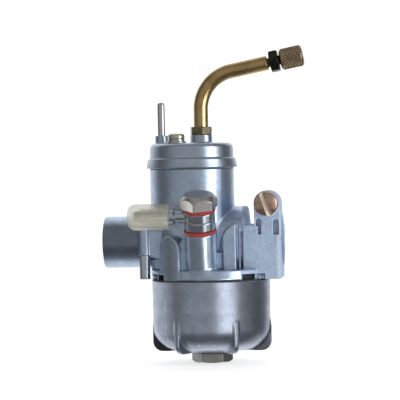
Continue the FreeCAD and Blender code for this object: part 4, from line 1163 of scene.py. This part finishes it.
M["brassnut"] = metal("brass_nut", (0.25, 0.20, 0.13), (0.14, 0.11, 0.075), 0.22, 0.36, 2.0, 0.3, 3.0, edge=0.5, edge_sheen_col=(0.9, 0.8, 0.55))
M["brassjet"] = metal("brass_jet", (0.75, 0.56, 0.28), (0.62, 0.45, 0.2), 0.22, 0.34, 2.0, 0.3, 2.0)
M["spring"] = metal("spring_steel", (0.52, 0.53, 0.55), (0.42, 0.43, 0.45), 0.22, 0.34, 2.0, 0.3, 2.0)
M["slide"] = metal("slide_satin", (0.58, 0.61, 0.66), (0.5, 0.53, 0.58), 0.28, 0.42, 4.0, 0.4, 3.0, turned=((SLIDE_X, 0, 0), UP), turned_um=2.0)
M["boltlow"] = metal("bowl_bolt_steel", (0.40, 0.395, 0.40), (0.28, 0.275, 0.28), 0.24, 0.38, 3.0, 0.4, 4.0, 2.0, 8.0, edge=0.7, edge_sheen_col=(0.88, 0.88, 0.88), painted_crevice_shade=0.5, speck=0.3)
M["vent"] = metal("vent_zinc", (0.64, 0.70, 0.78), (0.5, 0.56, 0.64), 0.18, 0.28, 3.0, 0.35, 0.8, 2.0, 5.0, edge=0.3)
M["red"] = plastic("fibre_red", (0.44, 0.04, 0.035), (0.30, 0.028, 0.025), 0.55, grain_mm=0.35, grain_um=10.0)
M["gasket"] = plastic("gasket_dark", (0.035, 0.037, 0.04), (0.06, 0.062, 0.066), 0.7, grain_mm=0.4, grain_um=8.0)
M["gasket_top"] = plastic("gasket_grey", (0.13, 0.14, 0.15), (0.2, 0.21, 0.22), 0.6, grain_mm=0.4, grain_um=8.0)
M["float"] = plastic("float_black", (0.03, 0.03, 0.032), (0.05, 0.05, 0.055), 0.5)
M["dust"] = plastic("dust_cap", (0.90, 0.87, 0.70), (0.85, 0.81, 0.62), 0.34, sub=0.2, transmission=0.6, grain_um=1.0, tone_mm=3.0)


# ---------------------------------------------------------------------------
# Pieces
# ---------------------------------------------------------------------------
def finish_piece(o, mat, body, slot, *nodes):
    o.data.materials.clear()
    o.data.materials.append(mat)
    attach(o, body)
    if nodes:
        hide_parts(*nodes)
    return o


def attribute(o, name, values):
    a = o.data.attributes.new(name, "FLOAT", "POINT")
    a.data.foreach_set("value", np.asarray(values, np.float32))


H_BODY = 0.28
H_SMALL = 0.13

body = field_obj("body_casting", body_field(H_BODY))
co = np.zeros(len(body.data.vertices) * 3, np.float32)
body.data.vertices.foreach_get("co", co)
co = co.reshape(-1, 3) / MM + np.array([OX, 0, 0])
# rougher where the casting was left as it came from the die: clamp block, webs, base and collar
rad = np.hypot(co[:, 0], co[:, 1])
chamber = (np.abs(rad - 16.75) < 0.5) & (co[:, 2] > -10) & (co[:, 0] < 12)
stub = (np.abs(np.hypot(co[:, 1], co[:, 2]) - 10.3) < 0.5) & (co[:, 0] < -13)
base_panel = (co[:, 0] > 11.0) & (co[:, 2] > -10.8) & (co[:, 1] < -11)
rough_part = np.where(co[:, 0] > 20.5, 0.95, np.where(base_panel, 0.35, np.where(chamber, 0.03, np.where(stub, 0.0, 0.08))))
attribute(body, "finish", rough_part)
# painted shade: the stub's flank darkened in its middle band as a painted dark reflection, the notches under the flange
# near-black, and a strip beside the clamp block darker
from_bowl = np.hypot(co[:, 0] - BOWL_X, co[:, 1])
ang = np.degrees(np.arctan2(co[:, 0] - BOWL_X, -co[:, 1]))
notch = (co[:, 2] < -12.5) & (co[:, 2] > -15.2) & (from_bowl > 19.0) & (from_bowl < 22.9)
notch &= ((ang > 36.5) & (ang < 56.0)) | ((ang > -61.0) & (ang < -45.5))
slot_dark = (co[:, 0] > 19.9) & (co[:, 0] < 21.2) & (co[:, 2] < 4) & (co[:, 2] > -11) & (co[:, 1] > -12.9)
flank = np.clip((np.abs(co[:, 2] - 1.0) - 3.0) / 5.0, 0, 1)
tone = np.where(stub, 0.42 + 0.58 * flank, 1.0)
tone = np.where(notch, 0.03, np.where(slot_dark, 0.45, tone))
attribute(body, "tone", tone)
finish_piece(body, M["zinc"], "body", "zinc_casting", "carb_body")

bowl = field_obj("bowl_casting", bowl_field(0.27))
# painted shade: the rearward fins darkened, the left one nearly black
bo = np.zeros(len(bowl.data.vertices) * 3, np.float32)
bowl.data.vertices.foreach_get("co", bo)
bo = bo.reshape(-1, 3) / MM + np.array([OX, 0, 0])
drop = np.clip(-33.98 - bo[:, 2], 0, 8.8)
fin = (np.hypot(bo[:, 0] - BOWL_X, bo[:, 1]) > 14.3 + np.sqrt(81 - drop**2) + 0.35) & (bo[:, 1] > -3) & (bo[:, 2] < -30)
attribute(bowl, "tone", np.where(fin, np.where(bo[:, 0] < BOWL_X, 0.1, 0.45), 1.0))
finish_piece(bowl, M["bowl"], "body", "zinc_casting", "float_bowl")

cap = field_obj("cap_turned", cap_field(0.2))
finish_piece(cap, M["cap"], "body", "satin_cast", "top_cap")

bolt = field_obj("inlet_bolt", banjo_bolt_field(H_SMALL), INLET)
finish_piece(bolt, M["hexsteel"], "body", "steel", "banjo_bolt")
fit = field_obj("inlet_fitting", banjo_fitting_field(H_SMALL), INLET)
finish_piece(fit, M["ring"], "body", "steel", "banjo_fitting")

nut = field_obj("elbow_nut", hex_nut_field(8.0, 42.4, 45.6, 43.5, 2.92, H_SMALL * 0.8, x0=SLIDE_X))
finish_piece(nut, M["brassnut"], "body", "dark_brass", "elbow_lock_nut")
nut = field_obj("adjuster_nut", hex_nut_field(8.0, 1.0, 4.6, 84.0, 2.12, H_SMALL * 0.8, both_ends=True), ALONG)
finish_piece(nut, M["blacknut"], "adjuster_lock_nut", "dark_steel", "adjuster_lock_nut")
bb = field_obj("drain_bolt", bowl_bolt_field(H_SMALL * 1.1))
finish_piece(bb, M["boltlow"], "body", "steel", "bowl_bolt")

_t = math.radians(-19.0)
e1 = np.array([math.sin(_t), 0, math.cos(_t)])
e3 = np.array([0, -1.0, 0])
e2 = np.cross(e3, e1)
scr = field_obj("pinch_screw", clamp_screw_field(H_SMALL), (np.stack([e1, e2, e3], 1), np.array([CLAMP_X, -13.4, CLAMP_Z])))
# painted highlight: the slot's sloping wall is coloured pale cream, standing in for the lamp's reflection
sc = np.zeros(len(scr.data.vertices) * 3, np.float32)
scr.data.vertices.foreach_get("co", sc)
mw = np.array(scr.matrix_world)
sc = (sc.reshape(-1, 3) @ mw[:3, :3].T + mw[:3, 3]) / MM + np.array([OX, 0, 0]) - np.array([CLAMP_X, -13.4, CLAMP_Z])
across, deep = sc @ e2, sc @ e3
attribute(scr, "pale", np.where((across > -0.05) & (across < 1.02) & (deep > 1.5) & (deep < 3.35), 1.0, 0.0))
finish_piece(scr, M["copper"], "body", "copper_zinc", "clamp_screw")

scr = field_obj("cap_screws", cap_screws_field(H_SMALL))
finish_piece(scr, M["yellow"], "body", "yellow_zinc", "top_cap_screws")


def washer_mesh(name, r0, r1, z0, z1, place=None, edge=0.15, segs=96, wobble=None):
    prof = rounded([(r0, z0), (r1, z0), (r1, z1), (r0, z1)], edge, 3)
    v, q = ring_mesh(prof, segs, wobble)
    return obj_from(name, v, q, place=place)


parts = [washer_mesh("w%d" % i, 2.15, 3.95, 39.1, 39.8, (np.eye(3), np.array([x, y, 0])), 0.2) for i, (x, y) in enumerate((NEAR, FAR))]
o = merge("cap_washers", *parts)
finish_piece(o, M["washer"], "body", "steel", "top_cap_washers")


def split_washer(turn):
    pts = []
    n = 72
    gap = 5.5
    prof = rounded([(2.1, 0), (3.3, 0), (3.3, 0.86), (2.1, 0.86)], 0.12, 3)
    m = len(prof)
    v, faces = [], []
    for i in range(n + 1):
        t = math.radians(turn + 200 + gap + (360 - 2 * gap) * i / n)
        for r, z in prof:
            v.append((r * math.cos(t), r * math.sin(t), 39.82 + z))
    for i in range(n):
        for j in range(m):
            k = (j + 1) % m
            faces.append((i * m + j, (i + 1) * m + j, (i + 1) * m + k, i * m + k))
    faces.append(tuple(range(m)))
    faces.append(tuple(range(n * m, n * m + m))[::-1])
    return v, faces


parts = []
for i, ((x, y), turn) in enumerate(((NEAR, 24.0), (FAR, -35.0))):
    v, f = split_washer(turn)
    parts.append(fix_normals(obj_from("s%d" % i, v, f, place=(np.eye(3), np.array([x, y, 0])))))
o = merge("cap_spring_washers", *parts)
sharp(o, 40)
finish_piece(o, M["steel"], "body", "steel", "top_cap_spring_washers")

def soft_edge(t, r, z):
    return 0.05 * np.sin(3 * t + 0.7) + 0.03 * np.sin(7 * t + z)


parts = [
    washer_mesh("r%d" % i, 4.02, 6.36, s0, s0 + 1.5, INLET, 0.45, 96, lambda t, r, z: (r > 5) * soft_edge(t, r, z))
    for i, s0 in enumerate((S0, S0 + 8.5))
]
o = merge("inlet_washers", *parts)
finish_piece(o, M["red"], "body", "fibre_red", "banjo_washers")

# choke pin, turned smooth with a chamfered tip
prof = [(0, 27.0), (1.35, 27.0), (1.5, 27.15)]
prof += [(1.5, z) for z in np.linspace(28, 54.6, 20)]
prof += [(1.47, 54.8), (1.4, 54.95), (1.0, 55.42), (0.9, 55.49), (0, 55.5)]
v, f = solid_lathe(prof, 48)
o = obj_from("choke_rod", v + np.array([CHOKE_X, 0, 0]), f)
sharp(fix_normals(o), 35)
finish_piece(o, M["pin"], "choke", "steel", "choke_pin")


# cable tube: an outline of (radius, way along) carried round the bend
def tube_point(s):
    """Position and outward normal of the tube's centre line at length s."""
    l1 = BEND_Z - 36.8
    l2 = BEND_R * math.radians(BEND_DEG)
    if s <= l1:
        return np.array([SLIDE_X, 0, 36.8 + s]), np.array([-1.0, 0, 0])
    if s <= l1 + l2:
        t = (s - l1) / BEND_R
    else:
        t = l2 / BEND_R
    p = np.array([SLIDE_X + BEND_R - BEND_R * math.cos(t), 0, BEND_Z + BEND_R * math.sin(t)])
    nrm = np.array([-math.cos(t), 0, math.sin(t)])
    if s > l1 + l2:
        p = p + D * (s - l1 - l2)
    return p, nrm


L_TUBE = (BEND_Z - 36.8) + BEND_R * math.radians(BEND_DEG) + STRAIGHT
steps = list(np.linspace(0.3, L_TUBE - 0.35, 110))
outline = [(1.78, 0.0), (2.7, 0.0), (2.9, 0.2)] + [(2.9, s) for s in steps]
outline += [(2.82, L_TUBE - 0.14), (2.65, L_TUBE), (2.3, L_TUBE), (2.12, L_TUBE - 0.15)]
outline += [(2.12, s) for s in np.linspace(L_TUBE - 0.6, L_TUBE - 9.9, 20)]
outline += [(1.78, L_TUBE - 10.1)] + [(1.78, s) for s in np.linspace(L_TUBE - 11, 0.4, 70)]
segs = 56
ring_pts = []
for r, s in outline:
    p, nrm = tube_point(s)
    for k in range(segs):
        t = 2 * math.pi * k / segs
        ring_pts.append(p + r * (math.cos(t) * nrm + math.sin(t) * np.array([0, 1.0, 0])))
m = len(outline)
faces = []
for i in range(m):
    a, b = i * segs, ((i + 1) % m) * segs
    for k in range(segs):
        n = (k + 1) % segs
        faces.append((a + k, a + n, b + n, b + k))
o = obj_from("cable_tube", np.array(ring_pts), faces)
sharp(fix_normals(o), 35)
finish_piece(o, M["brass"], "body", "brass", "cable_elbow")

# knurled adjuster with its threaded shank
KNOB0, KNOB1 = 5.2, 14.3
prof = [(1.0, -7.95), (1.7, -7.95)] + [(2.03, z) for z in np.arange(-7.6, 5.0, 0.1)]
prof += [(2.03, 5.2), (3.5, 5.22), (3.75, 5.4), (4.0, 5.75)]
prof += [(4.3, z) for z in np.arange(6.0, 13.55, 0.13)]
prof += [(4.0, 13.85), (3.7, 14.2), (3.5, 14.3), (2.95, 14.3), (2.77, 14.15)]
prof += [(2.77, z) for z in np.linspace(13.9, 8.4, 8)] + [(2.7, 8.3), (1.0, 8.3)]
prof += [(1.0, z) for z in np.linspace(8.0, -7.6, 14)]


def knurl(t, r, z):
    starts, pz, depth = 20, 1.25, 0.42
    a = starts * t / (2 * math.pi) + z / pz
    b = starts * t / (2 * math.pi) - z / pz
    ta = 1 - np.abs(2 * (a % 1.0) - 1)
    tb = 1 - np.abs(2 * (b % 1.0) - 1)
    hgt = np.clip(np.minimum(ta, tb) * 1.5, 0, 1)
    on = ((r > 4.1) & (z > 5.9) & (z < 13.7)).astype(float)
    fade = np.clip((z - 5.9) / 0.25, 0, 1) * np.clip((13.7 - z) / 0.25, 0, 1)
    out = -depth * (1 - hgt) * on * fade
    thr = ((np.abs(r - 2.03) < 0.02) & (z < 5.1)).astype(float)
    ph = (z / 0.8 - t / (2 * math.pi)) % 1.0
    out = out - 0.36 * np.abs(2 * ph - 1) * thr * np.clip((5.1 - z) / 0.2, 0, 1)
    return out


v, q = ring_mesh(prof, 200, knurl)
o = obj_from("adjuster_knob", v, q, place=ALONG)
finish_piece(o, M["knob"], "cable_adjuster", "dark_brass", "cable_adjuster")

# dust cap on the nipple, domed at its closed end
NIP = np.array([0, *inlet_pt(S0 + 6.5)[1:]])
OUTX = (rot("Y", -90), NIP)
prof = [(0, 22.9)]
for t in np.linspace(0, math.pi / 2, 13):
    prof.append((1.9 + 3.2 * math.sin(t), 19.7 + 3.2 * math.cos(t)))
prof += [(5.1, z) for z in np.linspace(19.2, 7.4, 12)]
prof += [(5.1, 7.0), (5.0, 6.72), (4.85, 6.56), (4.6, 6.5), (3.85, 6.5), (3.7, 6.6), (3.67, 6.9)]
prof += [(3.67, z) for z in np.linspace(8, 17.8, 10)] + [(3.55, 18.0), (2.6, 18.0), (2.57, 18.1), (2.57, 20.9), (2.4, 21.2), (0, 21.25)]
v, f = solid_lathe(prof, 72)
o = obj_from("dust_cap", v, f, place=OUTX)
sharp(fix_normals(o), 45)
finish_piece(o, M["dust"], "fuel_inlet_cap", "cap_plastic", "fuel_inlet_cap")

# overflow tube
prof = rounded([(1.1, -14.5), (2.15, -14.5), (2.15, -6.7), (2.4, -6.7), (2.4, -5.15), (1.62, -5.15), (1.62, 0.85), (1.1, 0.85)], [0.2, 0.25, 0.0, 0.05, 0.05, 0, 0.1, 0.1], 3)
v, q = ring_mesh(dense(prof, 1.0), 48)
o = obj_from("overflow_tube", v, q, place=(np.eye(3), np.array([VENT_X, VENT_Y, 0])))
sharp(o, 40)
finish_piece(o, M["vent"], "body", "steel", "vent_tube")

# plug pressed into the flange
prof = [(0, -14.0), (1.6, -14.0), (1.64, -13.9), (1.64, -11.2)]
for t in np.linspace(0.1, math.pi / 2 - 0.05, 9):
    prof.append((1.62 * math.cos(t), -11.1 + 0.62 * math.sin(t)))
prof += [(0, -10.48)]
v, f = solid_lathe(prof, 40)
o = obj_from("flange_plug", v + np.array([15.3, -18.6, 0]), f)
sharp(fix_normals(o), 50)
finish_piece(o, M["steel"], "body", "steel", "passage_plug")


def spring_obj(name, radius, wire, pitch, length, place, mat, body_name, node, sides=12, segs=36):
    v, f = coil(radius, wire, pitch, length, segs, sides)
    o = fix_normals(obj_from(name, v, f, place=place))
    sharp(o, 50)
    finish_piece(o, mat, body_name, "spring_steel", node)
    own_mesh(o)
    return o


spring_obj("throttle_coil", 6.35, 1.1, 4.6, 39.05, (np.eye(3), np.array([SLIDE_X, 0, -3.1])), M["spring"], "body", "throttle_spring")
spring_obj("choke_coil", 1.72, 0.42, 1.75, 16.4, (np.eye(3), np.array([CHOKE_X, 0, 10.6])), M["spring"], "body", "choke_spring", 8, 28)
spring_obj("idle_coil", 2.75, 0.7, 1.45, 6.8, (STOP[0], STOP[1] + np.array([0, 20.0, 0])), M["spring"], "body", "idle_screw_spring")

# throttle stop screw with its thread, head and slot; washer
def thread_wobble(v):
    v = v.copy()
    r = np.hypot(v[:, 0], v[:, 1])
    t = np.arctan2(v[:, 1], v[:, 0])
    on = (np.abs(r - 1.98) < 0.01) & (v[:, 2] < 26.9)
    ph = (v[:, 2] / 0.5 - t / (2 * math.pi)) % 1.0
    nr = np.where(on, r - 0.22 * np.abs(2 * ph - 1), r)
    k = np.where(r > 1e-6, nr / np.maximum(r, 1e-6), 1)
    v[:, 0] *= k
    v[:, 1] *= k
    return v


F = Field((-3.9, -3.9, 26.9), (3.9, 3.9, 30.9), 0.14)
F.add(lathe_f([(0, 27.3), (3.4, 27.3), (3.8, 27.7), (3.8, 30.3), (3.3, 30.8), (0, 30.8)]))
F.cut(box(-5, 5, -0.45, 0.45, 29.6, 32, 0.05), 0.1)
hv, hq = F.surface()
head = obj_from("h", hv, hq, place=STOP)
prof = [(0, 9.2), (0.9, 9.2), (1.35, 9.65), (1.4, 9.8), (1.4, 10.6)] + [(1.98, z) for z in np.arange(11.1, 27.6, 0.1)] + [(0, 27.7)]
v, f = solid_lathe(prof, 48)
shank = fix_normals(obj_from("s", thread_wobble(v), f, place=STOP))
o = merge("stop_screw", head, shank)
finish_piece(o, M["yellow"], "idle_screw", "steel", "idle_screw")
o = washer_mesh("stop_washer", 2.05, 3.4, 26.8, 27.28, STOP, 0.12)
finish_piece(o, M["steel"], "idle_screw_washer", "steel", "idle_screw_washer")

# CAD nodes that stay as they are get their own procedural finish
KEEP = {
    "top_cap_gasket": M["gasket_top"],
    "bowl_gasket": M["gasket"],
    "bowl_bolt_washer": M["red"],
    "throttle_slide": M["slide"],
    "choke_slide": M["slide"],
    "jet_needle": M["steel"],
    "needle_clip": M["spring"],
    "needle_retainer": M["steel"],
    "needle_jet": M["brassjet"],
    "main_jet": M["brassjet"],
    "idle_jet": M["brassjet"],
    "needle_valve_seat": M["brassjet"],
    "float_needle": M["brassjet"],
    "float": M["float"],
    "float_hinge_pin": M["steel"],
}
for name, mat in KEEP.items():
    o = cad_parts[name]
    if len(o.data.materials) == 0:
        o.data.materials.append(mat)
    for i in range(len(o.data.materials)):
        o.data.materials[i] = mat

# ---------------------------------------------------------------------------
# Floor, light, camera
# ---------------------------------------------------------------------------
AZ = math.radians(6.5)
RIGHT = np.array([math.cos(AZ), math.sin(AZ), 0])
BACK = np.array([math.sin(AZ), -math.cos(AZ), 0])  # from the object towards the camera
UPV = np.array([0, 0, 1.0])


def place(o, loc, x_axis, y_axis, z_axis):
    m = Matrix.Identity(4)
    for i in range(3):
        m[i][0], m[i][1], m[i][2], m[i][3] = x_axis[i], y_axis[i], z_axis[i], loc[i]
    o.matrix_world = m


# a plain pale sweep: flat under the object, rising far behind it
bm = bmesh.new()
rows = []
prof = [(-3.0, 0.0), (2.0, 0.0)]
for i in range(1, 13):
    t = math.pi / 2 * i / 12
    prof.append((2.0 + 1.0 * math.sin(t), 1.0 - 1.0 * math.cos(t)))
prof.append((3.0, 4.0))
for y, z in prof:
    rows.append([bm.verts.new((x, y, z - 0.0485)) for x in np.linspace(-4, 4, 9)])
for a, b in zip(rows[:-1], rows[1:]):
    for i in range(8):
        bm.faces.new((a[i], a[i + 1], b[i + 1], b[i]))
me = bpy.data.meshes.new("floor")
bm.to_mesh(me)
bm.free()
me.polygons.foreach_set("use_smooth", np.ones(len(me.polygons), bool))
floor = bpy.data.objects.new("floor", me)
bpy.context.scene.collection.objects.link(floor)
floor.rotation_euler = (0, 0, AZ)
N = Nodes("floor")
d = N.n("BsdfDiffuse", Color=(0.9, 0.9, 0.9))
e = N.n("Emission", Color=(1, 1, 1), Strength=0.64)
add = N.nt.nodes.new("ShaderNodeAddShader")
N.nt.links.new(d, add.inputs[0])
N.nt.links.new(e, add.inputs[1])
out = N.nt.nodes.new("ShaderNodeOutputMaterial")
N.nt.links.new(add.outputs[0], out.inputs[0])
floor.data.materials.append(N.m)
floor.visible_glossy = False
floor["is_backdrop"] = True

# studio: white behind, darker towards the camera, soft boxes at the side
W = Nodes("studio", world=True)
bpy.context.scene.world = W.m
dirv = W.n("TexCoord", out="Generated")
dr = W.vmath("DOT_PRODUCT", dirv, tuple(RIGHT), out="Value")
db = W.vmath("DOT_PRODUCT", dirv, tuple(BACK), out="Value")
dz = W.n("SeparateXYZ", out="Z", Vector=dirv)
phi = W.math("MULTIPLY_ADD", W.math("ARCTAN2", dr, db), 1 / (2 * math.pi), 0.5)


def around(stops):
    return [((p + 180.0) / 360.0, c) for p, c in stops]


RING = around(
    [
        (-180, 1.05),
        (-144, 0.95),
        (-124, 0.6),
        (-108, 0.22),
        (-94, 0.12),
        (-76, 0.17),
        (-45, 0.39),
        (0, 0.4),
        (26, 0.38),
        (80, 0.2),
        (95, 0.11),
        (116, 0.13),
        (130, 0.26),
        (146, 0.8),
        (160, 1.05),
        (180, 1.05),
    ]
)
mid = W.ramp(phi, RING, "EASE")
overhead = W.ramp(phi, around([(-180, 0.75), (-120, 0.6), (-60, 0.2), (60, 0.2), (120, 0.6), (180, 0.75)]), "EASE")
down = W.ramp(phi, around([(-180, 1.0), (-125, 0.6), (-100, 0.22), (-70, 0.12), (0, 0.14), (60, 0.16), (100, 0.1), (125, 0.45), (155, 1.0), (180, 1.0)]), "EASE")
under = W.ramp(phi, around([(-180, 0.85), (-120, 0.7), (-50, 0.3), (50, 0.3), (120, 0.7), (180, 0.85)]), "EASE")
hi = W.ramp(dz, [(0.72, 0.0), (0.95, 1.0)], "EASE")
lo = W.ramp(W.math("MULTIPLY", dz, -1.0), [(0.86, 0.0), (1.0, 1.0)], "EASE")
sink = W.ramp(W.math("MULTIPLY", dz, -1.0), [(0.26, 0.0), (0.5, 1.0)], "EASE")
env = W.mix(lo, W.mix(sink, W.mix(hi, mid, overhead), down), under)
lp = W.n("LightPath", out="Is Camera Ray")
bg1 = W.n("Background", Color=env, Strength=1.0)
bg2 = W.n("Background", Color=(1, 1, 1), Strength=1.0)
mixs = W.nt.nodes.new("ShaderNodeMixShader")
W.nt.links.new(lp, mixs.inputs[0])
W.nt.links.new(bg1, mixs.inputs[1])
W.nt.links.new(bg2, mixs.inputs[2])
out = W.nt.nodes.new("ShaderNodeOutputWorld")
W.nt.links.new(mixs.outputs[0], out.inputs[0])


def softbox(name, phi_deg, elev_deg, dist, width, height, radiance, target=(3.0, 0.0, 0.0), color=(1, 1, 1)):
    f, e = math.radians(phi_deg), math.radians(elev_deg)
    d = (math.cos(f) * BACK + math.sin(f) * RIGHT) * math.cos(e) + UPV * math.sin(e)
    loc = np.array(P(*target)) + d * dist
    light = bpy.data.lights.new(name, "AREA")
    light.shape = "RECTANGLE"
    light.size, light.size_y = width, height
    light.energy = radiance * math.pi * width * height
    light.color = color
    o = bpy.data.objects.new(name, light)
    bpy.context.scene.collection.objects.link(o)
    z = d / np.linalg.norm(d)
    x = np.cross(UPV, z)
    x /= np.linalg.norm(x)
    y = np.cross(z, x)
    place(o, loc, x, y, z)
    return o


def only_on(light, objs, name):
    c = bpy.data.collections.new(name)
    for o in objs:
        c.objects.link(o)
    light.light_linking.receiver_collection = c


key = softbox("key", 57.0, 4.0, 0.6, 0.34, 0.5, 2.7, (0, 0, 12.0))
key_low = softbox("key_low", 29.0, 0.0, 0.6, 0.33, 0.5, 1.35, (6.9, 0, -28.0))
side_low = softbox("side_low", -103.0, 0.0, 0.6, 0.40, 0.5, 0.34, (6.9, 0, -28.0))
boss_key = softbox("boss_key", 36.0, -31.0, 0.6, 0.11, 0.36, 6.0, (5.4, -20.0, 0.0))
boss_key.data.use_shadow = False
boss_key.data.cycles.use_multiple_importance_sampling = False
tube_key = softbox("tube_key", 44.0, 2.0, 0.6, 0.22, 0.5, 3.6, (10.0, 0, 55.0))
ring_key = softbox("ring_key", 42.0, -31.0, 0.5, 0.14, 0.30, 1.6, (5.4, -24.0, 14.0))
facet = softbox("facet", -97.0, -22.0, 0.5, 0.30, 0.30, 1.25, (5.4, -24.0, 14.0))
low = {"bowl_casting", "drain_bolt"}
shown = [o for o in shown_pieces() if o.name not in low]
only_on(key, shown + [floor], "key_on")
only_on(key_low, [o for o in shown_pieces() if o.name in low], "key_low_on")
only_on(side_low, [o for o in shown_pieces() if o.name in low], "side_low_on")
only_on(boss_key, [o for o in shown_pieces() if o.name == "body_casting"], "boss_key_on")
only_on(ring_key, [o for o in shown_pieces() if o.name in {"inlet_fitting", "inlet_bolt"}], "ring_key_on")
only_on(tube_key, [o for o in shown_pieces() if o.name == "cable_tube"], "tube_key_on")
only_on(facet, [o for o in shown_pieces() if o.name in {"inlet_bolt", "elbow_nut"}], "facet_on")

cam_data = bpy.data.cameras.new("camera")
cam = bpy.data.objects.new("camera", cam_data)
bpy.context.scene.collection.objects.link(cam)
cam_data.sensor_width = 36.0
cam_data.lens = 36.0 * 2125.0 / 400.0
cam_data.clip_start, cam_data.clip_end = 0.05, 20.0
PITCH = math.radians(0.9)
ROLL = math.radians(1.1)
fwd = -BACK * math.cos(PITCH) - UPV * math.sin(PITCH)
up1 = UPV * math.cos(PITCH) - BACK * math.sin(PITCH)
q0 = RIGHT * 2.994 + UPV * 16.31
centre = np.array(P(*q0))
loc = centre - fwd * 0.850
xa = math.cos(ROLL) * RIGHT - math.sin(ROLL) * up1
ya = math.sin(ROLL) * RIGHT + math.cos(ROLL) * up1
place(cam, loc, xa, ya, -fwd)
bpy.context.scene.camera = cam
bpy.context.scene.view_settings.view_transform = "Standard"
bpy.context.scene.view_settings.look = "None"
